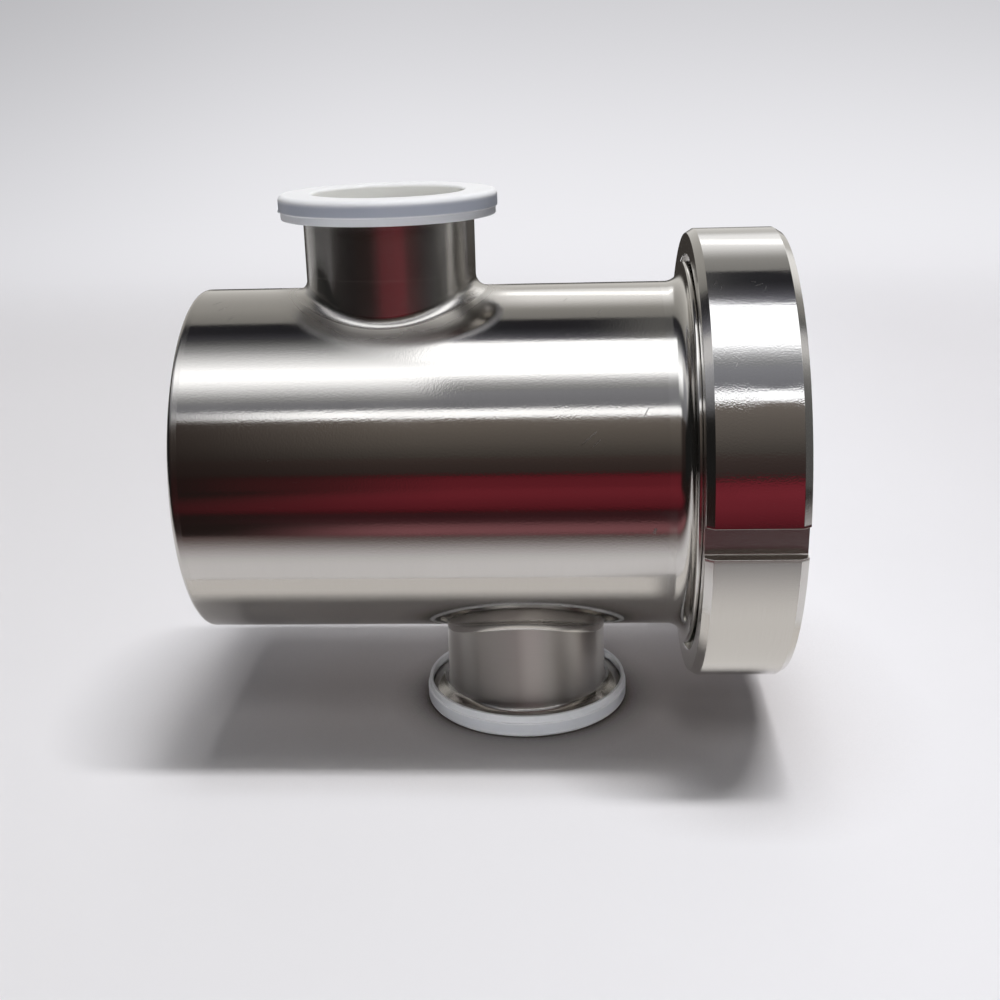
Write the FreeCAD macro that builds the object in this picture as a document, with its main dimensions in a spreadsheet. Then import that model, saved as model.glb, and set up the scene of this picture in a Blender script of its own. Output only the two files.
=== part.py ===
import FreeCAD, Part
import Sketcher
import math
import os

# Air gap fitting: a lying tube with a clamp port above and one below, set apart along the tube.
# What comes in above falls freely through the tube and leaves below. The blind end is on -X, and
# the open end on +X breathes through a perforated disc that a slotted ring nut holds.
# Millimetres. The origin is under the outlet's axis, on the surface that the outlet cap stands on.

doc = FreeCAD.newDocument("air_gap_fitting")

# Driving dimensions: name, value, what it is

SIZES = [
    ("body_diameter", 108.0, "body tube, outside"),
    ("body_wall", 2.0, "body tube, wall"),
    ("inlet_shift", 39.1, "outlet axis to inlet axis, along the tube"),
    ("blind_reach", 99.5, "outlet axis to the blind end's outer face"),
    ("open_reach", 43.0, "outlet axis to the tube's open end"),
    ("end_plate_thickness", 3.0, "blind end plate"),
    ("end_edge_radius", 1.5, "ground edge of the blind end"),
    ("port_diameter", 52.0, "necks and ferrules, outside"),
    ("port_wall", 1.5, "necks and ferrules, wall"),
    ("port_reach", 82.3, "tube axis to each clamp face"),
    ("collar_height", 6.0, "pulled neck above the tube's crown"),
    ("collar_radius", 4.0, "outside bend at the pulled neck's root"),
    ("clamp_flange", 6.0, "clamp rim out from the neck"),
    ("clamp_rim", 2.85, "clamp rim's cylindrical edge"),
    ("clamp_angle", 20.0, "slope of the clamp rim's back, degrees"),
    ("clamp_root_radius", 3.0, "bend from the clamp rim's back into the neck"),
    ("clamp_edge_radius", 0.4, "clamp rim's edges"),
    ("seal_groove_inset", 3.75, "gasket groove's middle line in from the clamp rim"),
    ("seal_groove_radius", 1.6, "gasket groove's half-round section"),
    ("cap_top", 1.4, "cap's plate over the clamp face"),
    ("cap_wall", 1.1, "cap's skirt"),
    ("cap_clearance", 0.1, "clamp rim to skirt"),
    ("cap_skirt", 5.9, "skirt past the clamp face"),
    ("cap_lip", 2.3, "set-in lip at the skirt's end, length"),
    ("cap_lip_inset", 0.55, "lip set in from the skirt"),
    ("cap_plug_depth", 5.0, "plug into the ferrule's bore"),
    ("cap_plug_wall", 1.3, "plug's wall and floor"),
    ("cap_plug_clearance", 0.15, "bore to plug"),
    ("cap_edge_radius", 1.6, "cap's outer edge"),
    ("cap_dish_radius", 1.0, "cap's inner edge, into the dish"),
    ("cap_floor_radius", 1.2, "dish floor's corner"),
    ("cap_lip_radius", 0.3, "edges of the ledge and lip"),
    ("gate_diameter", 1.7, "moulding gate's stub on the skirt"),
    ("gate_length", 0.7, "gate stub past the skirt"),
    ("inlet_gate_turn", 8.0, "inlet cap's gate, round from the blind end to the front, degrees"),
    ("outlet_gate_turn", 140.0, "outlet cap's gate, round from the blind end to the back, degrees"),
    ("rim_flare", 6.1, "union ring's rim out from the tube, behind the nut"),
    ("rim_root_radius", 5.0, "hollow bend from the tube out to the rim"),
    ("rim_edge_radius", 0.8, "rim's back edge"),
    ("rim_proud", 1.4, "rim past the nut's back face"),
    ("ring_plain", 2.1, "union ring's plain end before the bend"),
    ("thread_step", 1.1, "thread of ring and nut, mean, out from the rim"),
    ("thread_clearance", 0.05, "ring thread to nut thread"),
    ("thread_chamfer", 1.0, "thread's ends"),
    ("nut_wall", 8.75, "ring nut, thread to outside"),
    ("nut_length", 28.1, "ring nut, along the axis"),
    ("nut_gap", 2.2, "rim to the ring nut's hole in its back face"),
    ("nut_relief", 2.5, "opening's length before the thread"),
    ("nut_lip_reach", 10.25, "ring nut's thread in to its mouth"),
    ("nut_lip", 5.0, "lip round the mouth, along the axis"),
    ("nut_mouth_chamfer", 1.2, "mouth's edge"),
    ("nut_chamfer_length", 2.25, "outer chamfers, along the axis"),
    ("nut_chamfer_drop", 1.4, "outer chamfers, radially"),
    ("slot_width", 9.0, "hook-spanner slot"),
    ("slot_depth", 3.9, "hook-spanner slot"),
    ("slot_count", 2.0, "hook-spanner slots"),
    ("slot_turn", 5.0, "front slot below the tube's side line, degrees"),
    ("gasket_thickness", 2.5, "ring gasket"),
    ("disc_thickness", 3.0, "vent disc"),
    ("washer_thickness", 1.0, "slip washer"),
    ("washer_inset", 0.5, "slip washer's hole back from the nut's mouth"),
    ("stack_clearance", 0.3, "gasket, disc and washer to the nut's thread"),
    ("vent_hole", 6.0, "vent disc's holes"),
    ("vent_margin", 3.0, "outermost holes to the nut's mouth"),
    ("vent_rings", 5.0, "rings of holes round the middle one"),
]

sheet = doc.addObject("Spreadsheet::Sheet", "Sizes")
for row, (alias, value, meaning) in enumerate(SIZES, start=1):
    sheet.set(f"A{row}", meaning)
    sheet.set(f"B{row}", str(value))
    sheet.setAlias(f"B{row}", alias)
doc.recompute()

# Places that follow from the driving dimensions, on the tube's axis unless named otherwise

PLACES = [
    ("body_r", "Sizes.body_diameter / 2"),
    ("bore_r", "Places.body_r - Sizes.body_wall"),
    ("axis_height", "Sizes.port_reach + Sizes.cap_top"),
    ("tube_start", "Sizes.end_plate_thickness - Sizes.blind_reach"),
    ("port_r", "Sizes.port_diameter / 2"),
    ("port_bore_r", "Places.port_r - Sizes.port_wall"),
    ("collar_end", "Places.body_r + Sizes.collar_height"),
    ("ferrule_length", "Sizes.port_reach - Places.collar_end"),
    ("clamp_r", "Places.port_r + Sizes.clamp_flange"),
    ("clamp_back", "Sizes.clamp_rim + Sizes.clamp_flange * tan(Sizes.clamp_angle * 1 deg)"),
    ("groove_r", "Places.clamp_r - Sizes.seal_groove_inset"),
    ("cap_inner_r", "Places.clamp_r + Sizes.cap_clearance"),
    ("cap_outer_r", "Places.cap_inner_r + Sizes.cap_wall"),
    ("cap_ledge", "Sizes.cap_skirt - Sizes.cap_lip"),
    ("lip_outer_r", "Places.cap_outer_r - Sizes.cap_lip_inset"),
    ("lip_inner_r", "Places.lip_outer_r - Sizes.cap_wall"),
    ("lip_hook", "Places.cap_ledge - (Places.cap_inner_r - Places.lip_inner_r)"),
    ("gate_reach", "Places.cap_outer_r + Sizes.gate_length"),
    ("plug_r", "Places.port_bore_r - Sizes.cap_plug_clearance"),
    ("dish_r", "Places.plug_r - Sizes.cap_plug_wall"),
    ("dish_floor", "Sizes.cap_plug_depth - Sizes.cap_plug_wall"),
    ("rim_r", "Places.body_r + Sizes.rim_flare"),
    ("rim_back", "Sizes.open_reach + Sizes.ring_plain + Sizes.rim_root_radius"),
    ("nut_back", "Places.rim_back + Sizes.rim_proud"),
    ("nut_front", "Places.nut_back + Sizes.nut_length"),
    ("nut_seat", "Places.nut_front - Sizes.nut_lip"),
    ("thread_start", "Places.nut_back + Sizes.nut_relief"),
    ("ring_thread_r", "Places.rim_r + Sizes.thread_step"),
    ("nut_thread_r", "Places.ring_thread_r + Sizes.thread_clearance"),
    ("nut_r", "Places.nut_thread_r + Sizes.nut_wall"),
    ("nut_edge_r", "Places.nut_r - Sizes.nut_chamfer_drop"),
    ("opening_r", "Places.rim_r + Sizes.nut_gap"),
    ("mouth_r", "Places.nut_thread_r - Sizes.nut_lip_reach"),
    ("washer_back", "Places.nut_seat - Sizes.washer_thickness"),
    ("disc_back", "Places.washer_back - Sizes.disc_thickness"),
    ("ring_front", "Places.disc_back - Sizes.gasket_thickness"),
    ("stack_r", "Places.nut_thread_r - Sizes.stack_clearance"),
    ("washer_hole_r", "Places.mouth_r + Sizes.washer_inset"),
    ("slot_floor", "Places.nut_r - Sizes.slot_depth"),
    ("vent_pitch", "(Places.mouth_r - Sizes.vent_margin - Sizes.vent_hole / 2) / Sizes.vent_rings"),
]

places = doc.addObject("App::VarSet", "Places")
for name, rule in PLACES:
    places.addProperty("App::PropertyFloat", name, "Places")
    places.setExpression(name, rule)
doc.recompute()

NEAR = 1e-4
ALONG = FreeCAD.Vector(1, 0, 0)
UP = FreeCAD.Vector(0, 0, 1)
ON_AXIS = ("0", "0", "Places.axis_height")


def size(rule):
    """The number that an expression of sizes and places gives."""
    return float(sheet.evalExpression(rule))


def origin_plane(body, role):
    """One of a body's own origin planes or axes."""
    return next(item for item in body.Origin.OriginFeatures if item.Role == role)


def new_body(label):
    body = doc.addObject("PartDesign::Body", label)
    body.Label = label
    return body


def new_sketch(body, name, role):
    sketch = body.newObject("Sketcher::SketchObject", name)
    sketch.AttachmentSupport = (origin_plane(body, role), [""])
    sketch.MapMode = "FlatFace"
    return sketch


def pin_point(sketch, geometry, end, across, up):
    """Ties a point of a sketch to two expressions, measured from the sketch's origin."""
    for kind, rule in (("DistanceX", across), ("DistanceY", up)):
        place = sketch.addConstraint(Sketcher.Constraint(kind, -1, 1, geometry, end, size(rule)))
        sketch.setExpression(f"Constraints[{place}]", rule)


def outline(body, name, role, corners):
    """Closed outline of straight lines, each corner a pair of expressions."""
    sketch = new_sketch(body, name, role)
    points = [FreeCAD.Vector(size(across), size(up), 0) for across, up in corners]
    count = len(points)
    for index, point in enumerate(points):
        sketch.addGeometry(Part.LineSegment(point, points[(index + 1) % count]), False)
    for index in range(count):
        sketch.addConstraint(Sketcher.Constraint("Coincident", index, 2, (index + 1) % count, 1))
    for index, (across, up) in enumerate(corners):
        pin_point(sketch, index, 1, across, up)
    return sketch


def circles(body, name, role, rounds):
    """Circles, each given by expressions for its centre's place and its radius."""
    sketch = new_sketch(body, name, role)
    for index, (across, up, radius) in enumerate(rounds):
        centre = FreeCAD.Vector(size(across), size(up), 0)
        sketch.addGeometry(Part.Circle(centre, FreeCAD.Vector(0, 0, 1), size(radius)), False)
        pin_point(sketch, index, 3, across, up)
        place = sketch.addConstraint(Sketcher.Constraint("Radius", index, size(radius)))
        sketch.setExpression(f"Constraints[{place}]", radius)
    return sketch


def turned(body, name, sketch, axis, kind="Revolution"):
    """A sketch turned right round: H_Axis is the tube's axis, V_Axis a port's."""
    feature = body.newObject(f"PartDesign::{kind}", name)
    feature.Profile = sketch
    feature.ReferenceAxis = (sketch, [axis])
    feature.Angle = 360
    doc.recompute()
    return feature


def pushed(body, name, kind, sketch, length, backwards=False):
    """A sketch padded or pocketed along its normal."""
    feature = body.newObject(f"PartDesign::{kind}", name)
    feature.Profile = sketch
    feature.setExpression("Length", length)
    feature.Reversed = backwards
    doc.recompute()
    return feature


def ring_edges(shape, axis, rings):
    """Names of the round edges that have these radii at these places along an axis."""
    wanted = [(size(radius), size(place)) for radius, place in rings]
    names = []
    for number, edge in enumerate(shape.Edges, start=1):
        if not isinstance(edge.Curve, Part.Circle):
            continue
        radius, place = edge.Curve.Radius, edge.Curve.Center.dot(axis)
        if any(abs(radius - r) < NEAR and abs(place - p) < NEAR for r, p in wanted):
            names.append(f"Edge{number}")
    return names


def rounded(body, name, radius, edges):
    base = body.Tip
    feature = body.newObject("PartDesign::Fillet", name)
    feature.Base = (base, edges)
    feature.setExpression("Radius", radius)
    doc.recompute()


def chamfered(body, name, width, edges):
    base = body.Tip
    feature = body.newObject("PartDesign::Chamfer", name)
    feature.Base = (base, edges)
    feature.setExpression("Size", width)
    doc.recompute()


def patterned(body, name, feature, count):
    """Repeats a feature round the tube's axis."""
    pattern = body.newObject("PartDesign::PolarPattern", name)
    pattern.Originals = [feature]
    pattern.Axis = (origin_plane(body, "X_Axis"), [""])
    pattern.Angle = 360
    pattern.setExpression("Occurrences", count)
    body.Tip = pattern
    doc.recompute()


def seat(body, base, turn="0"):
    """Puts a body where its place in the fitting is, turned about the tube's direction."""
    body.Placement = FreeCAD.Placement(FreeCAD.Vector(), FreeCAD.Rotation(ALONG, size(turn)))
    if turn.startswith("Sizes"):
        body.setExpression("Placement.Rotation.Angle", turn)
    for letter, rule in zip("xyz", base):
        body.setExpression(f"Placement.Base.{letter}", rule)


# Each port: its name, its place along the tube, its side of the tube, its cap's gate

PORTS = [
    ("inlet", "-Sizes.inlet_shift", 1, "Sizes.inlet_gate_turn"),
    ("outlet", "0", -1, "Sizes.outlet_gate_turn"),
]


def saddle_edges(shape, tube_radius, neck_radius):
    """Names of the edges where a neck's cylinder meets the tube's."""
    names = []
    for number, edge in enumerate(shape.Edges, start=1):
        points = edge.discretize(7)
        on_tube = all(abs(math.hypot(p.y, p.z) - tube_radius) < 0.01 for p in points)
        on_neck = any(
            all(abs(math.hypot(p.x - size(place), p.y) - neck_radius) < 0.01 for p in points)
            for _, place, _, _ in PORTS
        )
        if on_tube and on_neck:
            names.append(f"Edge{number}")
    return names


# Body tube: one piece, with both necks pulled out of its wall

def make_body_tube():
    body = new_body("body_tube")
    bar = outline(body, "BarOutline", "XY_Plane", [
        ("Places.tube_start", "0"),
        ("Sizes.open_reach", "0"),
        ("Sizes.open_reach", "Places.body_r"),
        ("Places.tube_start", "Places.body_r"),
    ])
    turned(body, "Bar", bar, "H_Axis")
    for port, place, side, _ in PORTS:
        neck = circles(body, f"{port.title()}NeckCircle", "XY_Plane", [(place, "0", "Places.port_r")])
        pushed(body, f"{port.title()}Neck", "Pad", neck, "Places.collar_end", side < 0)
    roots = saddle_edges(body.Tip.Shape, size("Places.body_r"), size("Places.port_r"))
    rounded(body, "CollarBends", "Sizes.collar_radius", roots)
    hollow = outline(body, "HollowOutline", "XY_Plane", [
        ("Places.tube_start", "0"),
        ("Sizes.open_reach", "0"),
        ("Sizes.open_reach", "Places.bore_r"),
        ("Places.tube_start", "Places.bore_r"),
    ])
    turned(body, "Hollow", hollow, "H_Axis", "Groove")
    for port, place, side, _ in PORTS:
        way = circles(body, f"{port.title()}WayCircle", "XY_Plane", [(place, "0", "Places.port_bore_r")])
        pushed(body, f"{port.title()}Way", "Pocket", way, "Places.collar_end", side > 0)
    mouths = saddle_edges(body.Tip.Shape, size("Places.bore_r"), size("Places.port_bore_r"))
    rounded(body, "CollarMouths", "Sizes.collar_radius + Sizes.port_wall", mouths)
    seat(body, ON_AXIS)
    return body


# Blind end: a flat plate, welded on and ground round at its edge

def make_end_plate():
    body = new_body("end_plate")
    plate = outline(body, "PlateOutline", "XZ_Plane", [
        ("-Sizes.blind_reach", "0"),
        ("Places.tube_start", "0"),
        ("Places.tube_start", "Places.body_r"),
        ("-Sizes.blind_reach", "Places.body_r"),
    ])
    turned(body, "Plate", plate, "H_Axis")
    edge = ring_edges(body.Tip.Shape, ALONG, [("Places.body_r", "-Sizes.blind_reach")])
    rounded(body, "GroundEdge", "Sizes.end_edge_radius", edge)
    seat(body, ON_AXIS)
    return body


# Clamp ferrules and their caps are drawn with the clamp face at zero and the port pointing up

def port_seat(body, place, side):
    """Sets a port's piece on its clamp face: upright on the inlet, turned over on the outlet."""
    height = f"Places.axis_height + {side} * Sizes.port_reach"
    seat(body, (place, "0", height), "0" if side > 0 else "180")


def make_ferrule(port, place, side):
    body = new_body(f"{port}_ferrule")
    section = outline(body, "FerruleOutline", "XZ_Plane", [
        ("Places.port_bore_r", "-Places.ferrule_length"),
        ("Places.port_r", "-Places.ferrule_length"),
        ("Places.port_r", "-Places.clamp_back"),
        ("Places.clamp_r", "-Sizes.clamp_rim"),
        ("Places.clamp_r", "0"),
        ("Places.port_bore_r", "0"),
    ])
    turned(body, "Ferrule", section, "V_Axis")
    root = ring_edges(body.Tip.Shape, UP, [("Places.port_r", "-Places.clamp_back")])
    rounded(body, "ClampRoot", "Sizes.clamp_root_radius", root)
    rim = ring_edges(body.Tip.Shape, UP, [
        ("Places.clamp_r", "0"),
        ("Places.clamp_r", "-Sizes.clamp_rim"),
    ])
    rounded(body, "ClampEdges", "Sizes.clamp_edge_radius", rim)
    bead = circles(body, "SealGrooveCircle", "XZ_Plane", [
        ("Places.groove_r", "0", "Sizes.seal_groove_radius"),
    ])
    turned(body, "SealGroove", bead, "V_Axis", "Groove")
    port_seat(body, place, side)
    return body


def make_cap(port, place, side, gate_turn):
    body = new_body(f"{port}_cap")
    section = outline(body, "CapOutline", "XZ_Plane", [
        ("0", "-Sizes.cap_plug_depth"),
        ("Places.plug_r", "-Sizes.cap_plug_depth"),
        ("Places.plug_r", "0"),
        ("Places.cap_inner_r", "0"),
        ("Places.cap_inner_r", "-Places.lip_hook"),
        ("Places.lip_inner_r", "-Places.cap_ledge"),
        ("Places.lip_inner_r", "-Sizes.cap_skirt"),
        ("Places.lip_outer_r", "-Sizes.cap_skirt"),
        ("Places.lip_outer_r", "-Places.cap_ledge"),
        ("Places.cap_outer_r", "-Places.cap_ledge"),
        ("Places.cap_outer_r", "Sizes.cap_top"),
        ("Places.dish_r", "Sizes.cap_top"),
        ("Places.dish_r", "-Places.dish_floor"),
        ("0", "-Places.dish_floor"),
    ])
    turned(body, "Cap", section, "V_Axis")
    roundings = [
        ("OuterEdge", "Sizes.cap_edge_radius", [("Places.cap_outer_r", "Sizes.cap_top")]),
        ("DishEdge", "Sizes.cap_dish_radius", [("Places.dish_r", "Sizes.cap_top")]),
        ("DishFloor", "Sizes.cap_floor_radius", [("Places.dish_r", "-Places.dish_floor")]),
        ("LipEdges", "Sizes.cap_lip_radius", [
            ("Places.cap_outer_r", "-Places.cap_ledge"),
            ("Places.lip_outer_r", "-Sizes.cap_skirt"),
            ("Places.lip_inner_r", "-Sizes.cap_skirt"),
        ]),
    ]
    for name, radius, rings in roundings:
        rounded(body, name, radius, ring_edges(body.Tip.Shape, UP, rings))
    gate = circles(body, "GateCircle", "YZ_Plane", [("0", "-Places.cap_ledge", "Sizes.gate_diameter / 2")])
    stand = FreeCAD.Rotation(FreeCAD.Vector(0, 1, 0), size(gate_turn))
    gate.AttachmentOffset = FreeCAD.Placement(FreeCAD.Vector(), stand)
    gate.setExpression("AttachmentOffset.Rotation.Angle", gate_turn)
    gate.setExpression("AttachmentOffset.Base.x", f"-Places.gate_reach * sin({gate_turn} * 1 deg)")
    gate.setExpression("AttachmentOffset.Base.z", f"-Places.gate_reach * cos({gate_turn} * 1 deg)")
    pushed(body, "GateStub", "Pad", gate, "Sizes.gate_length + Sizes.cap_wall")
    port_seat(body, place, side)
    return body


# Union ring: welded to the tube's open end, flared out to a rim, with the thread inside the nut

def make_union_ring():
    body = new_body("union_ring")
    section = outline(body, "RingOutline", "XZ_Plane", [
        ("Sizes.open_reach", "Places.bore_r"),
        ("Sizes.open_reach", "Places.body_r"),
        ("Places.rim_back", "Places.body_r"),
        ("Places.rim_back", "Places.rim_r"),
        ("Places.thread_start", "Places.rim_r"),
        ("Places.thread_start", "Places.ring_thread_r"),
        ("Places.ring_front", "Places.ring_thread_r"),
        ("Places.ring_front", "Places.bore_r"),
    ])
    turned(body, "Ring", section, "H_Axis")
    root = ring_edges(body.Tip.Shape, ALONG, [("Places.body_r", "Places.rim_back")])
    rounded(body, "RimRoot", "Sizes.rim_root_radius", root)
    edge = ring_edges(body.Tip.Shape, ALONG, [("Places.rim_r", "Places.rim_back")])
    rounded(body, "RimEdge", "Sizes.rim_edge_radius", edge)
    front = ring_edges(body.Tip.Shape, ALONG, [("Places.ring_thread_r", "Places.ring_front")])
    chamfered(body, "ThreadEnd", "Sizes.thread_chamfer", front)
    seat(body, ON_AXIS)
    return body


# Ring nut: a turned ring with a lip round its mouth and hook-spanner slots across its face

def make_ring_nut():
    body = new_body("ring_nut")
    section = outline(body, "NutOutline", "XZ_Plane", [
        ("Places.nut_back", "Places.opening_r"),
        ("Places.nut_back", "Places.nut_edge_r"),
        ("Places.nut_back + Sizes.nut_chamfer_length", "Places.nut_r"),
        ("Places.nut_front - Sizes.nut_chamfer_length", "Places.nut_r"),
        ("Places.nut_front", "Places.nut_edge_r"),
        ("Places.nut_front", "Places.mouth_r"),
        ("Places.nut_seat", "Places.mouth_r"),
        ("Places.nut_seat", "Places.nut_thread_r"),
        ("Places.thread_start", "Places.nut_thread_r"),
        ("Places.thread_start", "Places.opening_r"),
    ])
    turned(body, "Nut", section, "H_Axis")
    mouth = ring_edges(body.Tip.Shape, ALONG, [("Places.mouth_r", "Places.nut_front")])
    chamfered(body, "MouthEdge", "Sizes.nut_mouth_chamfer", mouth)
    slot = outline(body, "SlotOutline", "YZ_Plane", [
        ("-Places.nut_r - Sizes.slot_depth", "-Sizes.slot_width / 2"),
        ("-Places.slot_floor", "-Sizes.slot_width / 2"),
        ("-Places.slot_floor", "Sizes.slot_width / 2"),
        ("-Places.nut_r - Sizes.slot_depth", "Sizes.slot_width / 2"),
    ])
    cut = pushed(body, "Slot", "Pocket", slot, "Places.nut_front", True)
    patterned(body, "Slots", cut, "Sizes.slot_count")
    seat(body, ON_AXIS, "Sizes.slot_turn")
    return body


# What the nut clamps on the ring's front face: gasket, vent disc and slip washer

def make_flat_ring(label, back, front, inner, outer):
    body = new_body(label)
    section = outline(body, "RingOutline", "XZ_Plane", [
        (back, inner),
        (front, inner),
        (front, outer),
        (back, outer),
    ])
    turned(body, "Ring", section, "H_Axis")
    seat(body, ON_AXIS)
    return body


def make_vent_disc():
    body = new_body("vent_disc")
    plate = outline(body, "DiscOutline", "XZ_Plane", [
        ("Places.disc_back", "0"),
        ("Places.washer_back", "0"),
        ("Places.washer_back", "Places.stack_r"),
        ("Places.disc_back", "Places.stack_r"),
    ])
    turned(body, "Disc", plate, "H_Axis")
    middle = circles(body, "MiddleHoleCircle", "YZ_Plane", [("0", "0", "Sizes.vent_hole / 2")])
    pushed(body, "MiddleHole", "Pocket", middle, "Places.washer_back", True)
    rings = int(size("Sizes.vent_rings"))
    holes = [
        (
            f"Places.vent_pitch * {out + turn / 2}",
            f"Places.vent_pitch * {turn} * sin(60 deg)",
            "Sizes.vent_hole / 2",
        )
        for out in range(1, rings + 1)
        for turn in range(rings + 1 - out)
    ]
    sector = circles(body, "SectorHoleCircles", "YZ_Plane", holes)
    cut = pushed(body, "SectorHoles", "Pocket", sector, "Places.washer_back", True)
    patterned(body, "Holes", cut, "6")
    seat(body, ON_AXIS)
    return body


bodies = [make_body_tube(), make_end_plate()]
for port, place, side, gate_turn in PORTS:
    bodies.append(make_ferrule(port, place, side))
    bodies.append(make_cap(port, place, side, gate_turn))
bodies.append(make_union_ring())
bodies.append(make_ring_nut())
bodies.append(make_flat_ring(
    "ring_gasket", "Places.ring_front", "Places.disc_back", "Places.bore_r", "Places.stack_r"))
bodies.append(make_vent_disc())
bodies.append(make_flat_ring(
    "slip_washer", "Places.washer_back", "Places.nut_seat", "Places.washer_hole_r", "Places.stack_r"))
doc.recompute()

# Nothing is written unless every feature and every shape is sound

for item in doc.Objects:
    faults = {"Invalid", "Error"} & set(item.State)
    if faults:
        raise RuntimeError(f"{item.Name} is {faults}")
for body in bodies:
    if body.Shape.isNull() or not body.Shape.isValid():
        raise RuntimeError(f"{body.Label} has no sound shape")

os.makedirs("parts", exist_ok=True)
for body in bodies:
    body.Shape.exportStep(f"parts/{body.Label}.step")
    box = body.Shape.BoundBox
    corners = [box.XMin, box.YMin, box.ZMin, box.XMax, box.YMax, box.ZMax]
    print(body.Label, [round(value, 2) for value in corners], round(body.Shape.Volume / 1000, 2), "cm3")
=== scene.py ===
# %% [markdown]
# # Air gap fitting
# A stainless air gap fitting is a short, fat tube that lies on its side. Water falls in through the
# upper port, drops freely through the tube and leaves by the lower port, so nothing can be sucked
# back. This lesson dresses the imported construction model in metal, plastic and light.
#
# The construction model is right in its sizes, but its curved faces are coarse triangles. Polished
# steel shows the smallest flaw in a surface, because everything on it is a reflection. So the
# pieces that show are rebuilt here as fine meshes with exact normals, and each one stands in for
# its node.
#
# Blender measures in metres and the fitting is drawn in millimetres, so MM turns one into the
# other. The tube's axis runs along X, at the height AXIS_MM. PORTS says for each port where it is
# along X, and 1 if it is above the tube or -1 if it is below.

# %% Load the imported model
import math
import bpy
import numpy as np
from mathutils import Matrix, Vector


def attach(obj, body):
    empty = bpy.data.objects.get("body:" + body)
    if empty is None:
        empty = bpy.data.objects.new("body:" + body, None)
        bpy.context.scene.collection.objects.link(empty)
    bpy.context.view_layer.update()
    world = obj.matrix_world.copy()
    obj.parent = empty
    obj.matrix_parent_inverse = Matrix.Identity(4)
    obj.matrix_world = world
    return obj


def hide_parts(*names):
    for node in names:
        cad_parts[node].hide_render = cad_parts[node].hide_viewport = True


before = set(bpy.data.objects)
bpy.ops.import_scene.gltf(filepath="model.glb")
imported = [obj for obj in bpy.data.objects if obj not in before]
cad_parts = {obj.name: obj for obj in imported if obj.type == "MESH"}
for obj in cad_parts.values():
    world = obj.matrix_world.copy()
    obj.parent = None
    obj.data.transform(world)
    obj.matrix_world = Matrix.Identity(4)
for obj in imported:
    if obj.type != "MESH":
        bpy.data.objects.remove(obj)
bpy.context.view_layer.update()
MM = 0.001
AXIS_MM = 83.7
INLET_MM = -39.1
TUBE_RADIUS = 54.0
NUT_RADIUS = 70.0
PORTS = (("inlet", INLET_MM, 1), ("outlet", 0.0, -1))


def placed(name, data):
    """Puts an object that shows this mesh, lamp or camera into the scene."""
    made = bpy.data.objects.new(name, data)
    bpy.context.collection.objects.link(made)
    return made


def strip_mesh(name, pairs):
    """A mesh of quads through pairs of points, (left, right) for each step along it."""
    mesh = bpy.data.meshes.new(name)
    mesh.from_pydata(
        [point for pair in pairs for point in pair],
        [],
        [(2 * i, 2 * i + 1, 2 * i + 3, 2 * i + 2) for i in range(len(pairs) - 1)],
    )
    return mesh


print("nodes:", sorted(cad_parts))

# %% [markdown]
# ## Camera
# The camera stands about 40 cm in front of the fitting and a little above it, and looks down at
# seventeen degrees. Its place, turn and lens were solved from the edges of the object, so the piece
# can be laid over the picture. A camera in Blender looks along its own -Z, with +Y up, so its
# matrix is built from three directions: right, up and backwards.

# %% Camera
CAMERA_PLACE = Vector((14.44, -406.25, 201.63)) * MM
CAMERA_YAW = math.radians(-3.483)
CAMERA_DIP = math.radians(17.278)
CAMERA_ROLL = math.radians(-1.643)
CAMERA_LENS = 47.545
CAMERA_SHIFT = (0.0092, -0.01984)


def camera_matrix(place, yaw, dip, roll):
    """The camera's own axes as the columns of a matrix, and its place."""
    ahead = Vector((math.sin(yaw) * math.cos(dip), math.cos(yaw) * math.cos(dip), -math.sin(dip)))
    level = Vector((math.cos(yaw), -math.sin(yaw), 0))
    upright = level.cross(ahead)
    right = math.cos(roll) * level + math.sin(roll) * upright
    up = math.cos(roll) * upright - math.sin(roll) * level
    turn = Matrix((right, up, -ahead)).transposed()
    return Matrix.Translation(place) @ turn.to_4x4()


camera_data = bpy.data.cameras.new("Camera")
camera_data.sensor_width = 36
camera_data.lens = CAMERA_LENS
camera_data.shift_x, camera_data.shift_y = CAMERA_SHIFT
camera = placed("Camera", camera_data)
camera.matrix_world = camera_matrix(CAMERA_PLACE, CAMERA_YAW, CAMERA_DIP, CAMERA_ROLL)
bpy.context.scene.camera = camera
bpy.context.scene.view_settings.view_transform = "Standard"
print("camera at", [round(value, 4) for value in camera.location])

# %% [markdown]
# ## Small helpers for materials
# A material is a graph of nodes. A few helpers keep the graphs short: one adds a node and fills or
# links its inputs by name, and the others use it for what comes often: sums, ranges, noise, mixes,
# bumps and shaders. Each takes either a plain value or another node's output, so the graphs below
# can be read like formulas.

# %% Node helpers


def plug(tree, socket, value):
    """Links an output to a socket, or writes a plain value on it."""
    if isinstance(value, bpy.types.NodeSocket):
        tree.links.new(value, socket)
    else:
        socket.default_value = value


def add_node(tree, kind, settings=None, **inputs):
    """Adds a node, sets its own settings and fills its inputs, named with _ for each space."""
    made = tree.nodes.new(kind)
    for name, value in (settings or {}).items():
        setattr(made, name, value)
    for name, value in inputs.items():
        plug(tree, made.inputs[name.replace("_", " ")], value)
    return made


def calc(tree, operation, *values, clamp=False):
    """Adds a Math node and returns its result."""
    made = tree.nodes.new("ShaderNodeMath")
    made.operation = operation
    made.use_clamp = clamp
    for socket, value in zip(made.inputs, values):
        plug(tree, socket, value)
    return made.outputs[0]


def product(tree, *values):
    """Multiplies any number of values."""
    result = values[0]
    for value in values[1:]:
        result = calc(tree, "MULTIPLY", result, value)
    return result


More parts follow.
